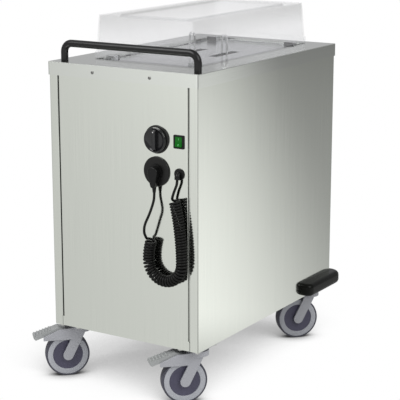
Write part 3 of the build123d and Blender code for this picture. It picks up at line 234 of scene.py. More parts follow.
def ramp_node(tree, source, from_low, from_high, to_low, to_high, shape="LINEAR"):
    """A node that spreads one range of a value over another."""
    spread = tree.nodes.new("ShaderNodeMapRange")
    spread.interpolation_type = shape
    spread.inputs["From Min"].default_value = from_low
    spread.inputs["From Max"].default_value = from_high
    spread.inputs["To Min"].default_value = to_low
    spread.inputs["To Max"].default_value = to_high
    tree.links.new(source, spread.inputs["Value"])
    return spread.outputs["Result"]


def math_node(tree, operation, first, second):
    node = tree.nodes.new("ShaderNodeMath")
    node.operation = operation
    for socket, value in zip(node.inputs, (first, second)):
        if isinstance(value, float):
            socket.default_value = value
        else:
            tree.links.new(value, socket)
    return node.outputs["Value"]


def vary_color(material, pattern, dark, light):
    tree = material.node_tree
    ramp = tree.nodes.new("ShaderNodeValToRGB")
    ramp.color_ramp.elements[0].position = 0.3
    ramp.color_ramp.elements[0].color = (*dark, 1)
    ramp.color_ramp.elements[1].position = 0.7
    ramp.color_ramp.elements[1].color = (*light, 1)
    tree.links.new(pattern.outputs["Fac"], ramp.inputs["Fac"])
    tree.links.new(ramp.outputs["Color"], tree.nodes["Principled BSDF"].inputs["Base Color"])
    return ramp


def vary_roughness(material, pattern, low, high):
    tree = material.node_tree
    spread = ramp_node(tree, pattern.outputs["Fac"], 0.25, 0.75, low, high)
    tree.links.new(spread, tree.nodes["Principled BSDF"].inputs["Roughness"])


def add_bump(material, pattern, strength, distance):
    tree = material.node_tree
    bump = tree.nodes.new("ShaderNodeBump")
    bump.inputs["Strength"].default_value = strength
    bump.inputs["Distance"].default_value = distance
    tree.links.new(pattern.outputs["Fac"], bump.inputs["Height"])
    tree.links.new(bump.outputs["Normal"], tree.nodes["Principled BSDF"].inputs["Normal"])


ground_lines = 900
ground_strength, ground_depth = 0.06, 0.00004
ground_spread = (0.8, 1.25)     # of the roughness
# share of the tone left on the folded edges, as painted shade
edge_painted_shade = 0.62
edge_roughness = 0.5
edge_to_flat = (0.93, 0.985)    # the normal's largest share along one axis, on an edge and on flat sheet


def ground_steel(name, dark, light, rough, grain, folded=True):
    """Steel with a fine ground finish along one axis; folded sheet has duller edges, with painted shade on
    them.
    """
    material = surface(name, light, rough, metallic=1.0)
    tree = material.node_tree
    shader = tree.nodes["Principled BSDF"]
    smoothest, roughest = (rough * share for share in ground_spread)
    lines = noise(material, ground_lines, grain, detail=4)
    add_bump(material, lines, ground_strength, ground_depth)
    if not folded:
        vary_color(material, lines, dark, light)
        vary_roughness(material, lines, smoothest, roughest)
        return material
    geometry = tree.nodes.new("ShaderNodeNewGeometry")
    split = tree.nodes.new("ShaderNodeSeparateXYZ")
    tree.links.new(geometry.outputs["Normal"], split.inputs["Vector"])
    squareness = None
    for axis in "XYZ":
        share = math_node(tree, "ABSOLUTE", split.outputs[axis], 0.0)
        squareness = share if squareness is None else math_node(tree, "MAXIMUM", squareness, share)
    flat = ramp_node(tree, squareness, *edge_to_flat, 0.0, 1.0)
    ramp = vary_color(material, lines, dark, light)
    # painted shade: the folded edges are darkened by the way the surface faces
    edge = tree.nodes.new("ShaderNodeMix")
    edge.data_type = "RGBA"
    tree.links.new(flat, edge.inputs[0])
    edge.inputs[6].default_value = (*[c * edge_painted_shade for c in light], 1)
    tree.links.new(ramp.outputs["Color"], edge.inputs[7])
    tree.links.new(edge.outputs[2], shader.inputs["Base Color"])
    spread = ramp_node(tree, lines.outputs["Fac"], 0.25, 0.75, smoothest, roughest)
    dull = tree.nodes.new("ShaderNodeMix")
    tree.links.new(flat, dull.inputs[0])
    dull.inputs[2].default_value = edge_roughness
    tree.links.new(spread, dull.inputs[3])
    tree.links.new(dull.outputs[0], shader.inputs["Roughness"])
    return material


grain_low, grain_high = 0.85, 1.15
grain_strength, grain_depth = 0.25, 0.00008


def moulded(name, color, roughness, grain=1800, specular=0.5):
    """Moulded plastic or rubber with a fine spark-eroded grain."""
    material = surface(name, color, roughness, specular=specular)
    grains = noise(material, grain, detail=2)
    vary_color(material, grains, [c * grain_low for c in color], [min(1, c * grain_high) for c in color])
    vary_roughness(material, grains, roughness * grain_low, min(1, roughness * grain_high))
    add_bump(material, grains, grain_strength, grain_depth)
    return material


upright_grain = (1, 1, 0.004)
length_grain = (1, 0.004, 1)
even_grain = (1, 1, 1)
wound_grain = (1, 1, 40)
loop_grain = (1, 0.05, 1)
panel_steel = ground_steel("panel_steel", (0.69, 0.715, 0.66), (0.735, 0.76, 0.70), 0.10, upright_grain)
cap_steel = ground_steel("cap_steel", (0.69, 0.715, 0.67), (0.735, 0.755, 0.715), 0.07, length_grain)
well_steel = ground_steel("well_steel", (0.72, 0.73, 0.73), (0.80, 0.81, 0.81), 0.32, upright_grain)
plate_steel = ground_steel("plate_steel", (0.72, 0.73, 0.74), (0.78, 0.79, 0.80), 0.20, length_grain)
wire_steel = ground_steel("wire_steel", (0.66, 0.66, 0.66), (0.74, 0.74, 0.74), 0.08, even_grain,
                          folded=False)
screw_steel = ground_steel("screw_steel", (0.55, 0.55, 0.53), (0.68, 0.68, 0.66), 0.18, even_grain,
                           folded=False)
cap_screw_steel = ground_steel("cap_screw_steel", (0.22, 0.22, 0.21), (0.32, 0.32, 0.31), 0.35,
                               even_grain, folded=False)
zinc = ground_steel("zinc", (0.42, 0.43, 0.43), (0.50, 0.51, 0.51), 0.35, even_grain, folded=False)
spring_steel = ground_steel("spring_steel", (0.32, 0.32, 0.33), (0.48, 0.48, 0.49), 0.3, wound_grain,
                            folded=False)
heater_steel = ground_steel("heater_steel", (0.16, 0.14, 0.12), (0.26, 0.23, 0.20), 0.4, loop_grain,
                            folded=False)
handle_black = moulded("handle_black", (0.005, 0.005, 0.005), 0.30, specular=0.35)
black_plastic = moulded("black_plastic", (0.005, 0.005, 0.005), 0.30, specular=0.22)
knob_black = moulded("knob_black", (0.006, 0.006, 0.007), 0.17, grain=900, specular=0.5)
bezel_black = moulded("bezel_black", (0.008, 0.008, 0.0075), 0.35, specular=0.25)
flex_rubber = moulded("flex_rubber", (0.006, 0.006, 0.0055), 0.42, grain=2500, specular=0.16)
bumper_rubber = moulded("bumper_rubber", (0.004, 0.0045, 0.0035), 0.20, grain=900, specular=0.12)
tyre_rubber = moulded("tyre_rubber", (0.055, 0.055, 0.075), 0.55)
ring_plastic = moulded("ring_plastic", (0.36, 0.37, 0.40), 0.45)
hub_plastic = moulded("hub_plastic", (0.060, 0.057, 0.094), 0.5)
fork_plastic = moulded("fork_plastic", (0.33, 0.335, 0.36), 0.42)
pedal_plastic = moulded("pedal_plastic", (0.30, 0.31, 0.31), 0.5)
bush_plastic = moulded("bush_plastic", (0.75, 0.74, 0.70), 0.4)
pad_rubber = moulded("pad_rubber", (0.02, 0.02, 0.02), 0.6)
rocker_green = moulded("rocker_green", (0.002, 0.10, 0.005), 0.18, specular=0.2)
# painted shade for the screw slots' floor and walls
slot_painted_shade = moulded("slot_painted_shade", (0.02, 0.02, 0.02), 0.6)
mark_pale = moulded("mark_pale", (0.10, 0.38, 0.13), 0.4)
mark_white = moulded("mark_white", (0.80, 0.80, 0.78), 0.4)


hood_cover = 0.14
hood_wall_tone = 0.72
# tones of the painted shade at the walls' tops: the right wall, then the others
hood_side_head_painted_shade, hood_front_head_painted_shade = 0.0, 0.48
hood_side_shade, hood_front_shade = 0.080, 0.070    # how far below the top the walls' painted shade starts
hood_shade_end = 0.004
# painted shade on the rounded edges
hood_edge_painted_shade = 0.25
# painted shade in a fine line along the foot
hood_foot_painted_shade = 0.12
hood_foot_line = (0.0015, 0.0035)
hood_roof_painted_light = (0.98, 0.85)                      # painted light, sunken middle and rim
hood_roof_depths = (0.007, 0.001)


def clear_hood():
    """Milky see-through plastic, with painted shade along its rounded edges, upper walls and foot, and
    painted light in its sunken roof.
    """
    material = surface("clear_hood", (0.5, 0.5, 0.5), 0.08, specular=0.5)
    tree = material.node_tree
    shader = tree.nodes["Principled BSDF"]
    shader.inputs["Alpha"].default_value = hood_cover
    low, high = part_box("hood")
    place = tree.nodes.new("ShaderNodeTexCoord")
    split = tree.nodes.new("ShaderNodeSeparateXYZ")
    tree.links.new(place.outputs["Object"], split.inputs["Vector"])
    geometry = tree.nodes.new("ShaderNodeNewGeometry")
    facing = tree.nodes.new("ShaderNodeSeparateXYZ")
    tree.links.new(geometry.outputs["Normal"], facing.inputs["Vector"])
    up = math_node(tree, "ABSOLUTE", facing.outputs["Z"], 0.0)
    level = ramp_node(tree, up, 0.90, 0.99, 0.0, 1.0)
    upright = ramp_node(tree, up, 0.12, 0.35, 1.0, 0.0)
    # painted shade: the walls darken towards the roof, the right one more than the others
    side_wall = ramp_node(tree, split.outputs["Z"], high.z - hood_side_shade, high.z - hood_shade_end,
                          hood_wall_tone, hood_side_head_painted_shade, "SMOOTHSTEP")
    front_wall = ramp_node(tree, split.outputs["Z"], high.z - hood_front_shade, high.z - hood_shade_end,
                           hood_wall_tone, hood_front_head_painted_shade, "SMOOTHSTEP")
    sideways = ramp_node(tree, facing.outputs["X"], 0.5, 0.9, 0.0, 1.0)
    wall = tree.nodes.new("ShaderNodeMix")
    tree.links.new(sideways, wall.inputs[0])
    tree.links.new(front_wall, wall.inputs[2])
    tree.links.new(side_wall, wall.inputs[3])
    # painted light: the sunken roof is paler than its rim
    sunken, rim = (high.z - depth for depth in hood_roof_depths)
    roof = ramp_node(tree, split.outputs["Z"], sunken, rim, *hood_roof_painted_light)
    # painted shade on the rounded edges between the walls and the roof
    tone = tree.nodes.new("ShaderNodeMix")
    tree.links.new(level, tone.inputs[0])
    edge = tree.nodes.new("ShaderNodeMix")
    tree.links.new(upright, edge.inputs[0])
    edge.inputs[2].default_value = hood_edge_painted_shade
    # a fine line of painted shade along the hood's foot
    line, above = (low.z + height for height in hood_foot_line)
    foot = ramp_node(tree, split.outputs["Z"], line, above, hood_foot_painted_shade, 1.0)
    tree.links.new(math_node(tree, "MULTIPLY", wall.outputs[0], foot), edge.inputs[3])
    tree.links.new(edge.outputs[0], tone.inputs[2])
    tree.links.new(roof, tone.inputs[3])
    haze = noise(material, 6, (1, 1, 2), detail=1)
    cloud = ramp_node(tree, haze.outputs["Fac"], 0.3, 0.7, 0.94, 1.06)
    clouded = math_node(tree, "MULTIPLY", tone.outputs[0], cloud)
    tint = tree.nodes.new("ShaderNodeCombineColor")
    tree.links.new(clouded, tint.inputs["Red"])
    tree.links.new(clouded, tint.inputs["Green"])
    tree.links.new(math_node(tree, "MULTIPLY", clouded, 1.03), tint.inputs["Blue"])
    tree.links.new(tint.outputs["Color"], shader.inputs["Base Color"])
    return material


hood_clear = clear_hood()

finishes = {
    panel_steel: ["side_panel_left", "side_panel_right", "front_panel", "rear_panel"],
    cap_steel: ["top_cap"],
    well_steel: ["well_wall_front", "well_wall_rear", "well_wall_left", "well_wall_right", "well_floor",
                 "platform_carriage", "slide_rods", "guide_tracks"],
    plate_steel: ["platform_plate", "corner_stops"],
    zinc: ["base_pan", "spring_hangers", "caster_plates"],
    screw_steel: ["cap_screws", "handle_bolts", "caster_bolts"],
    spring_steel: ["lift_springs"],
    heater_steel: ["heating_element"],
    wire_steel: ["guide_left", "guide_right"],
    handle_black: ["push_handle"],
    black_plastic: ["thermostat", "switch_body", "power_plug", "cable_gland"],
    knob_black: ["dial_knob"],
    bezel_black: ["dial_bezel", "parking_socket"],
    flex_rubber: ["cord_lead_gland", "cord_coil", "cord_lead_plug"],
    bumper_rubber: ["bumper_left", "bumper_right"],
    pedal_plastic: ["brake_pedal_left", "brake_pedal_right"],
    bush_plastic: ["glide_bushes"],
    pad_rubber: ["stop_pads"],
    rocker_green: ["switch_rocker"],
    hood_clear: ["hood"],
}
corners = ("fl", "fr", "rl", "rr")
for corner in corners:
    finishes[fork_plastic] = finishes.get(fork_plastic, []) + [f"caster_{corner}_fork"]
    finishes[screw_steel] = finishes[screw_steel] + [f"caster_{corner}_axle"]
    finishes[hub_plastic] = finishes.get(hub_plastic, []) + [f"caster_{corner}_wheel"]
    finishes[tyre_rubber] = finishes.get(tyre_rubber, []) + [f"caster_{corner}_tyre"]
for material, names in finishes.items():
    for name in names:
        wear(nodes[name], material)

# ---------------------------------------------------------------- curly lead
flex_diameter = 0.0071
coil_radius = 0.0124
coil_plane = -0.396
gland_run = [(0.181, -0.3905, 0.6245), (0.181, -0.3905, 0.6135), (0.1765, -0.3905, 0.6020),
             (0.1710, -0.3908, 0.5895), (0.1672, -0.3915, 0.5775), (0.1655, -0.3915, 0.5705)]
plug_run = [(0.090274, -0.399899, 0.456056), (0.090274, -0.405474, 0.464978),
            (0.090274, -0.411833, 0.475155), (0.095, -0.416, 0.498), (0.107, -0.412, 0.524),
            (0.111, -0.397, 0.556), (0.111, -0.393, 0.570), (0.111, -0.393, 0.582)]
coil_top = (0.176, 0.570)
coil_right = (0.198, 0.399)
coil_left = (0.094, 0.399)
coil_end = (0.102, 0.452)
turns_down, turns_bend, turns_up = 23.52, 19.25, 6.94
first_turn = 105       # degrees round the coil at its upper end
first_step = 4         # points left out there, where the lead comes in
points_a_turn = 12


def spline_points(points, name):
    """Points along the NURBS line through the control points."""
    data = bpy.data.curves.new(name, "CURVE")
    data.dimensions = "3D"
    line = data.splines.new("NURBS")
    line.points.add(len(points) - 1)
    for point, place in zip(line.points, points):
        point.co = (*place, 1)
    line.order_u = 3
    line.use_endpoint_u = True
    line.resolution_u = 24
    holder = bpy.data.objects.new(name, data)
    scene.collection.objects.link(holder)
    bpy.context.view_layer.update()
    mesh = bpy.data.meshes.new_from_object(holder.evaluated_get(bpy.context.evaluated_depsgraph_get()))
    places = [vertex.co.copy() for vertex in mesh.vertices]
    bpy.data.objects.remove(holder)
    bpy.data.meshes.remove(mesh)
    return places


def coil_axis_controls():
    """Down the long leg, round the half circle at the bottom and up the short leg."""
    radius = (coil_right[0] - coil_left[0]) / 2
    middle = (coil_right[0] + coil_left[0]) / 2
    half_step = 15
    reach = radius / math.cos(math.radians(half_step))
    places = [coil_top, (0.1858, 0.5290), (0.1925, 0.4860), (0.1970, 0.4420), (coil_right[0], 0.4140)]
    for step in range(6):
        angle = math.radians(half_step + 2 * half_step * step)
        places.append((middle + reach * math.cos(angle), coil_right[1] - reach * math.sin(angle)))
    places += [(coil_left[0], 0.4130), (0.0965, 0.4310), coil_end]
    return [(x, coil_plane, z) for x, z in places]


def helix_points():
    axis = spline_points(coil_axis_controls(), "coil_axis")
    lengths = [0.0]
    for a, b in zip(axis, axis[1:]):
        lengths.append(lengths[-1] + (b - a).length)

    def at(share):
        """Point and heading of the axis at a share of its length."""
        goal = share * lengths[-1]
        last = len(lengths) - 1
        k = max(1, next((n for n, length in enumerate(lengths) if length >= goal), last))
        t = (goal - lengths[k - 1]) / (lengths[k] - lengths[k - 1])
        return axis[k - 1].lerp(axis[k], t), (axis[k] - axis[k - 1]).normalized()

    # shares of the axis where the bend starts and ends, by height
    bend_start = min(k for k, p in enumerate(axis) if p.z <= coil_right[1])
    bend_end = max(k for k, p in enumerate(axis) if p.z <= coil_left[1])
    marks = [0.0, lengths[bend_start] / lengths[-1], lengths[bend_end] / lengths[-1], 1.0]
    counts = [0.0, turns_down, turns_down + turns_bend, turns_down + turns_bend + turns_up]
    outward = Vector((0, -1, 0))
    reach = coil_radius / math.cos(math.pi / points_a_turn)
    total = round(counts[-1] * points_a_turn)
    places = []
    for k in range(first_step, total):
        turns = k / points_a_turn
        n = 0 if turns < counts[1] else 1 if turns < counts[2] else 2
        share = marks[n] + (marks[n + 1] - marks[n]) * (turns - counts[n]) / (counts[n + 1] - counts[n])
        centre, along = at(share)
        across = outward.cross(along).normalized()
        angle = math.radians(first_turn + 360 * turns)
        places.append(centre + across * (reach * math.cos(angle)) + outward * (reach * math.sin(angle)))
    return places


def curly_lead():
    route = [Vector(p) for p in gland_run] + helix_points() + [Vector(p) for p in plug_run]
    data = bpy.data.curves.new("curly_lead", "CURVE")
    data.dimensions = "3D"
    line = data.splines.new("NURBS")
    line.points.add(len(route) - 1)
    for point, place in zip(line.points, route):
        point.co = (*place, 1)
    line.order_u = 3
    line.use_endpoint_u = True
    line.resolution_u = 4
    data.resolution_u = 4
    data.bevel_depth = flex_diameter / 2
    data.bevel_resolution = 3
    data.use_fill_caps = True
    lead = bpy.data.objects.new("curly_lead", data)
    scene.collection.objects.link(lead)
    lead.data.materials.append(flex_rubber)
    line_points = spline_points(route, "lead_line")
    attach(lead, "cabinet")
    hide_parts("cord_lead_gland", "cord_coil", "cord_lead_plug")


curly_lead()

# ---------------------------------------------------------------- push handle
handle_radius = 0.010
handle_bend = 0.024
handle_clearance = 0.0002


def push_handle():
    low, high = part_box("push_handle")
    reach = high.x - handle_radius
    y = (low.y + high.y) / 2
    base = low.z + handle_clearance
    bar = high.z - handle_radius
    route = [(-reach, y, base), (-reach, y, bar), (reach, y, bar), (reach, y, base)]
    handle = tube("push_handle_tube", route, handle_radius, corner=handle_bend, sides=40)
    wear(handle, handle_black)
    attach(handle, "cabinet")
    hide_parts("push_handle")


push_handle()

# ---------------------------------------------------------------- wheels
# one half of each section, as radius and distance from the wheel's middle
wheel_half = [(0.0051, 0.0192), (0.0135, 0.0192), (0.0140, 0.0187), (0.0140, 0.0140), (0.0410, 0.0140),
              (0.0424, 0.0146), (0.0432, 0.0160), (0.0565, 0.0160), (0.0573, 0.0156), (0.0575, 0.0150)]
tyre_half = [(0.0575, 0.0154), (0.0580, 0.0160), (0.0605, 0.0160), (0.0613, 0.0156), (0.0620, 0.0145),
             (0.0624, 0.0120), (0.0625, 0.0060)]
axle_way = (math.sin(math.radians(45)), -math.cos(math.radians(45)), 0)
hub_edge = 0.0426


def both_halves(half):
    """A whole profile from one half of it, mirrored about the middle."""
    return [(radius, -along) for radius, along in half] + half[::-1]


def caster_wheels():
    for corner in corners:
        low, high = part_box(f"caster_{corner}_tyre")
        centre = (low + high) / 2
        wheel = lathe(f"wheel_{corner}", both_halves(wheel_half), centre, axle_way, 96)
        wear(wheel, ring_plastic, hub_plastic)
        for face in wheel.data.polygons:
            out = face.center - centre
            from_axle = out - Vector(axle_way) * out.dot(Vector(axle_way))
            face.material_index = 1 if from_axle.length < hub_edge else 0
        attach(wheel, f"wheel_{corner}")
        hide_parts(f"caster_{corner}_wheel")
        tyre = lathe(f"tyre_{corner}", both_halves(tyre_half), centre, axle_way, 96)
        wear(tyre, tyre_rubber)
        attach(tyre, f"wheel_{corner}")
        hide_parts(f"caster_{corner}_tyre")


caster_wheels()

# ---------------------------------------------------------------- corner bumpers
cabinet_side = 0.2375
cabinet_rear = 0.379
bumper_foot = 0.162
bumper_round = 0.0125
bumper_corners = (0.022, 0.034, 0.022)
corner_steps = 8
tiny = 1e-6


def corner_bumpers():
    """Round-nosed rubber bumpers that wrap the two rear corners."""
    for node in ("bumper_left", "bumper_right"):
        low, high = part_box(node)
        way = 1 if high.x > 0 else -1
        side, rear = cabinet_side * way, cabinet_rear
        outer = high.x if way > 0 else low.x
        leg = low.x if way > 0 else high.x
        bends = [(outer, low.y), (outer, high.y), (leg, high.y)]
        ends = [(side, low.y)] + bends + [(leg, rear)]
        outline = [ends[0]]
        for before, here, after, radius in zip(ends, bends, ends[2:], bumper_corners):
            back = (Vector(before) - Vector(here)).normalized() * radius
            ahead = (Vector(after) - Vector(here)).normalized() * radius
            centre = Vector(here) + back + ahead
            for step in range(corner_steps + 1):
                angle = math.radians(90 * step / corner_steps)
                outline.append(tuple(centre - ahead * math.cos(angle) - back * math.sin(angle)))
        outline += [ends[-1], (side, rear)]
        deselect()
        bpy.ops.mesh.primitive_circle_add(vertices=len(outline), radius=1, fill_type="NGON")
        bumper = bpy.context.object
        bumper.name = f"corner_{node}"
        for vertex, (x, y) in zip(bumper.data.vertices, outline):
            vertex.co = (x, y, bumper_foot)
        bpy.ops.object.mode_set(mode="EDIT")
        bpy.ops.mesh.select_all(action="SELECT")
        bpy.ops.mesh.extrude_region_move(TRANSFORM_OT_translate={"value": (0, 0, high.z - bumper_foot)})
        bpy.ops.mesh.select_all(action="SELECT")
        bpy.ops.mesh.normals_make_consistent(inside=False)
        bpy.ops.object.mode_set(mode="OBJECT")
        mesh = bumper.data
        weights = mesh.attributes.new("bevel_weight_edge", "FLOAT", "EDGE")
        # only the upper and lower outer edges are rounded, not those against the cabinet
        for edge in mesh.edges:
            a, b = (mesh.vertices[n].co for n in edge.vertices)
            against = any(max(abs(a[axis] - face), abs(b[axis] - face)) < tiny
                          for axis, face in ((0, side), (1, rear)))
            weights.data[edge.index].value = 0.0 if against or abs(a.z - b.z) > tiny else 1.0
        rounding = bumper.modifiers.new("rounding", "BEVEL")
        rounding.width = bumper_round
        rounding.segments = 6
        rounding.limit_method = "WEIGHT"
        rounding.use_clamp_overlap = False
        only(bumper)
        bpy.ops.object.modifier_apply(modifier="rounding")
        wear(smooth(bumper, 40), bumper_rubber)
        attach(bumper, "cabinet")
        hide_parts(node)


corner_bumpers()

# ---------------------------------------------------------------- small fittings
screw_across = 0.0915
skirt_face = 0.382
screw_height = 0.880
head_radius = 0.0045
head_dome = 0.0020
slot_depth = 0.0011
slot_width = 0.0012
slot_lean = 62         # degrees from upright
screw_profile = [(0.0, -0.0015), (0.0022, -0.0015), (0.0022, 0.0), (head_radius, 0.0),
                 (head_radius, 0.0006), (0.0042, 0.0012), (0.0035, 0.0017), (0.0022, 0.00195),
                 (0.0, head_dome)]


def cap_screw_heads():
    """Slotted pan-head screws that hold the cap's skirt."""
    screws = []
    for way, side in ((-1, -1), (-1, 1), (1, -1), (1, 1)):
        centre = Vector((side * screw_across, way * skirt_face, screw_height))
        screw = lathe("cap_screw", screw_profile, centre, (0, way, 0), 32)
        deselect()
        bpy.ops.mesh.primitive_cube_add(size=1, location=centre + Vector((0, way * head_dome, 0)),
                                        rotation=(0, math.radians(slot_lean), 0))
        cutter = bpy.context.object
        cutter.scale = (4 * head_radius, 2 * slot_depth, slot_width)
        settle(cutter)
        cut_away(screw, cutter)
        wear(screw, cap_screw_steel, slot_painted_shade)
        across = Vector((math.sin(math.radians(slot_lean)), 0, math.cos(math.radians(slot_lean))))
        # the slot's floor and walls carry painted shade
        for face in screw.data.polygons:
            place = face.center - centre
            deep = place.y * way < head_dome - 0.8 * slot_depth and face.normal.y * way > 0.9
            inside = abs(place.dot(across)) < 0.55 * slot_width
            face.material_index = 1 if inside and (deep or abs(face.normal.dot(across)) > 0.9) else 0
        screws.append(smooth(screw, 30))
    heads = join(screws, "cap_screw_heads")
    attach(heads, "cabinet")
    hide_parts("cap_screws")


cap_screw_heads()

bezel_profile = [(0.0036, 0.0), (0.0375, 0.0), (0.0375, 0.0014), (0.0368, 0.0026), (0.0355, 0.0034),
                 (0.0340, 0.0037), (0.0036, 0.0037)]
knob_profile = [(0.0032, 0.0), (0.0315, 0.0), (0.0330, 0.0012), (0.0335, 0.0040), (0.0333, 0.0065),
                (0.0325, 0.0083), (0.0312, 0.0091), (0.0298, 0.0088), (0.0285, 0.0074), (0.0262, 0.0058),
                (0.0220, 0.0050), (0.0032, 0.0048)]
grip_foot = 0.0030
grip_height = 0.0150
grip_base = (0.0160, 0.0600)
grip_top = (0.0090, 0.0500)
grip_round = 0.0022
bore_depth = 0.0140
bore_radius = 0.0032


def dial():
    """Round knob with a raised rim, scooped either side of its upright grip, on a thin ring."""
    low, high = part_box("dial_bezel")
    middle = Vector(((low.x + high.x) / 2, high.y, (low.z + high.z) / 2))
    ring = lathe("dial_ring", bezel_profile, middle, (0, -1, 0), 96)
    wear(ring, bezel_black)
    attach(ring, "cabinet")
    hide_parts("dial_bezel")
    low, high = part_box("dial_knob")
    seat = Vector((middle.x, high.y, middle.z))
    knob = lathe("control_knob", knob_profile, seat, (0, -1, 0), 96)
    wear(knob, knob_black)
    half_wide, half_high = grip_base[0] / 2, grip_base[1] / 2
    grip = block("knob_grip", (middle.x - half_wide, seat.y - grip_height, middle.z - half_high),
                 (middle.x + half_wide, seat.y - grip_foot, middle.z + half_high))
    for vertex in grip.data.vertices:
        if vertex.co.y < seat.y - grip_height / 2:
            vertex.co.x = middle.x + (vertex.co.x - middle.x) * grip_top[0] / grip_base[0]
            vertex.co.z = middle.z + (vertex.co.z - middle.z) * grip_top[1] / grip_base[1]
    bevel(grip, grip_round, 4)
    bore = rod("knob_bore", seat, seat + Vector((0, -bore_depth, 0)), bore_radius)
    cut_away(grip, bore)
    wear(smooth(grip, 40), knob_black)
    knob = join([knob, grip], "control_knob")
    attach(knob, "dial")
    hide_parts("dial_knob")


dial()

dot_profile = [(0.0, -0.0004), (0.0013, -0.0004), (0.0013, 0.00005), (0.0010, 0.00015), (0.0, 0.0002)]
dot_lift = 0.021


def dial_mark():
    """White dot near the upper end of the knob's grip."""
    low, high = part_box("dial_knob")
    spot = Vector(((low.x + high.x) / 2, high.y - grip_height, (low.z + high.z) / 2 + dot_lift))
    mark = lathe("dial_mark", dot_profile, spot, (0, -1, 0), 24)
    wear(mark, mark_white)
    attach(mark, "dial")


dial_mark()

mark_lift = 0.0075
bar_size = (0.0014, 0.0050, 0.0004)
ring_profile = [(0.0014, -0.0002), (0.0024, -0.0002), (0.0024, 0.0002), (0.0014, 0.0002)]


def rocker_marks():
    """A bar and a ring on the rocker's two ends."""
    rocker = nodes["switch_rocker"]
    low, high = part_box("switch_rocker")
    middle = (low.x + high.x) / 2, (low.z + high.z) / 2
    pieces = []
    for lift in (mark_lift, -mark_lift):
        start = (middle[0], low.y - 0.05, middle[1] + lift)
        _, place, normal, _ = rocker.ray_cast(start, (0, 1, 0))
        if lift > 0:
            deselect()
            bpy.ops.mesh.primitive_cube_add(size=1, location=place,
                                            rotation=normal.to_track_quat("Z", "Y").to_euler())
            mark = bpy.context.object
            mark.name = "rocker_mark"
            mark.scale = bar_size
            settle(mark)
            mark = bevel(mark, 0.0001, 1)
        else:
            mark = lathe("rocker_mark", ring_profile, place, normal, 24)
        pieces.append(wear(mark, mark_pale))
    marks = join(pieces, "rocker_marks")
    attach(marks, "rocker")


rocker_marks()

lip_depth = 0.0030
lip_width = {-1: 0.0024, 1: 0.0020}    # left and right
lip_foot, lip_head = 0.1855, 0.8635
lip_round = 0.0004


def panel_lips():
    """Narrow folded lips beside the front and rear panels' upright edges."""
    lips = []
    for face, way in (("front_panel", -1), ("rear_panel", 1)):
        low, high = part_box(face)
        outer = low.y if way < 0 else high.y
        inner = outer - way * lip_depth
        for side in (-1, 1):
            edge = high.x if side > 0 else low.x
            near, far = sorted((edge, edge + side * lip_width[side]))
            front, back = sorted((outer, inner))
            lip = block("panel_lip", (near, front, lip_foot), (far, back, lip_head))
            lips.append(wear(bevel(lip, lip_round, 2), panel_steel))
    folded = join(lips, "panel_lips")
    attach(folded, "cabinet")


panel_lips()

# ---------------------------------------------------------------- studio
sweep_along = (0.5241, 0.8517, 0)
sweep_across = (-0.8517, 0.5241, 0)
sweep_fall = 0.9202     # share of the tone that is left after each metre
# each as two places in metres and the tones or shares there
sweep_side = (-0.472, 0.192, 1.27, 0.482)
sweep_near = (-0.096, 0.69, 0.456, 1.0)
sweep_slope = (-1.5, 1.5, 1.010, 0.418)
sweep_depth = (-7.0, 0.0, 0.218, 0.0)
sweep_turn = (-0.6, -0.1, 0.0, 1.0)


def sweep_tone(tree):
    """Tone of the studio's long paper sweep as steel mirrors it, fitted to the panels' tones."""
    place = tree.nodes.new("ShaderNodeTexCoord")
    ways = []
    for way in (sweep_along, sweep_across):
        dot = tree.nodes.new("ShaderNodeVectorMath")
        dot.operation = "DOT_PRODUCT"
        dot.inputs[1].default_value = way
        tree.links.new(place.outputs["Object"], dot.inputs[0])
        ways.append(dot.outputs["Value"])
    along, across = ways
    side = ramp_node(tree, across, *sweep_side, "SMOOTHSTEP")
    near = ramp_node(tree, along, *sweep_near, "SMOOTHSTEP")
    fall = math_node(tree, "POWER", sweep_fall, along)
    behind = math_node(tree, "MULTIPLY", math_node(tree, "MULTIPLY", side, near), fall)
    slope = ramp_node(tree, across, *sweep_slope)
    depth = ramp_node(tree, along, *sweep_depth)
    front = math_node(tree, "ADD", slope, depth)
    turn = ramp_node(tree, along, *sweep_turn, "SMOOTHSTEP")
    mix = tree.nodes.new("ShaderNodeMix")
    tree.links.new(turn, mix.inputs[0])
    tree.links.new(front, mix.inputs[2])
    tree.links.new(behind, mix.inputs[3])
    return mix.outputs[0]


# the way it faces, its reach, the open shares that are darkest and white, and the darkest tone
floor_shades = (((0.62, -0.50, 0.60), 0.42, 0.30, 0.84, 0.36),
                ((0.0, 0.0, 1.0), 0.07, 0.15, 0.95, 0.06))


paper_color = (0.86, 0.86, 0.86, 1)
paper_roughness, paper_gloss = 0.9, 0.1


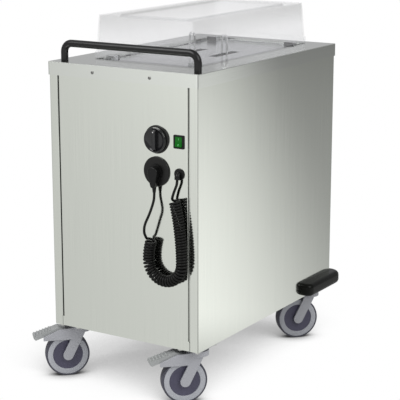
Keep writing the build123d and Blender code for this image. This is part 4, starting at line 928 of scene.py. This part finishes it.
def studio_floor():
    deselect()
    bpy.ops.mesh.primitive_plane_add(size=60, location=(0, 0, 0))
    floor = bpy.context.object
    floor.name = "studio_floor"
    material = bpy.data.materials.new("studio_floor")
    material.use_nodes = True
    tree = material.node_tree
    shader = tree.nodes["Principled BSDF"]
    shader.inputs["Base Color"].default_value = paper_color
    shader.inputs["Roughness"].default_value = paper_roughness
    shader.inputs["Specular IOR Level"].default_value = paper_gloss
    light_path = tree.nodes.new("ShaderNodeLightPath")
    # white paper, darkened where the cart stands close over it; the wide shade leans to the front right
    shade = None
    for way, reach, closed, clear, darkest in floor_shades:
        close = tree.nodes.new("ShaderNodeAmbientOcclusion")
        close.samples = 16
        close.inputs["Distance"].default_value = reach
        lean = tree.nodes.new("ShaderNodeCombineXYZ")
        for socket, value in zip(lean.inputs, way):
            socket.default_value = value
        tree.links.new(lean.outputs["Vector"], close.inputs["Normal"])
        tone = ramp_node(tree, close.outputs["AO"], closed, clear, darkest, 1.0, "SMOOTHSTEP")
        shade = tone if shade is None else math_node(tree, "MULTIPLY", shade, tone)
    paper = tree.nodes.new("ShaderNodeEmission")
    tree.links.new(shade, paper.inputs["Strength"])
    mirrored = tree.nodes.new("ShaderNodeEmission")
    tree.links.new(sweep_tone(tree), mirrored.inputs["Strength"])
    shader_now = shader.outputs["BSDF"]
    glows = {"Is Camera Ray": paper, "Is Transmission Ray": paper, "Is Glossy Ray": mirrored}
    for ray, glow in glows.items():
        mix = tree.nodes.new("ShaderNodeMixShader")
        tree.links.new(light_path.outputs[ray], mix.inputs["Fac"])
        tree.links.new(shader_now, mix.inputs[1])
        tree.links.new(glow.outputs["Emission"], mix.inputs[2])
        shader_now = mix.outputs["Shader"]
    tree.links.new(shader_now, tree.nodes["Material Output"].inputs["Surface"])
    wear(floor, material)


sky_light = (0.62, 0.62, 0.62, 1)
sky_mirrored = (0.48, 0.48, 0.49, 1)
sky_seen = (1, 1, 1, 1)


def studio_sky():
    world = bpy.data.worlds.new("studio")
    scene.world = world
    world.use_nodes = True
    tree = world.node_tree
    back = tree.nodes["Background"]
    back.inputs["Strength"].default_value = 1.0
    light_path = tree.nodes.new("ShaderNodeLightPath")
    color = None
    for ray, tone in (("Is Glossy Ray", sky_mirrored), ("Is Camera Ray", sky_seen)):
        mix = tree.nodes.new("ShaderNodeMix")
        mix.data_type = "RGBA"
        mix.inputs[6].default_value = sky_light
        if color:
            tree.links.new(color, mix.inputs[6])
        mix.inputs[7].default_value = tone
        tree.links.new(light_path.outputs[ray], mix.inputs[0])
        color = mix.outputs[2]
    tree.links.new(color, back.inputs["Color"])


def softbox(name, place, target, size, power):
    deselect()
    way = Vector(target) - Vector(place)
    bpy.ops.object.light_add(type="AREA", location=place, rotation=way.to_track_quat("-Z", "Y").to_euler())
    lamp = bpy.context.object
    lamp.name = name
    lamp.data.shape = "RECTANGLE"
    lamp.data.size, lamp.data.size_y = size
    lamp.data.energy = power


studio_floor()
studio_sky()
cart_middle = (0, 0, 0.5)
softbox("key", (-1.2, -2.6, 3.4), cart_middle, size=(2.4, 2.4), power=95)
softbox("fill", (2.8, -1.0, 2.6), cart_middle, size=(2.0, 2.0), power=45)
scene.view_settings.view_transform = "Standard"
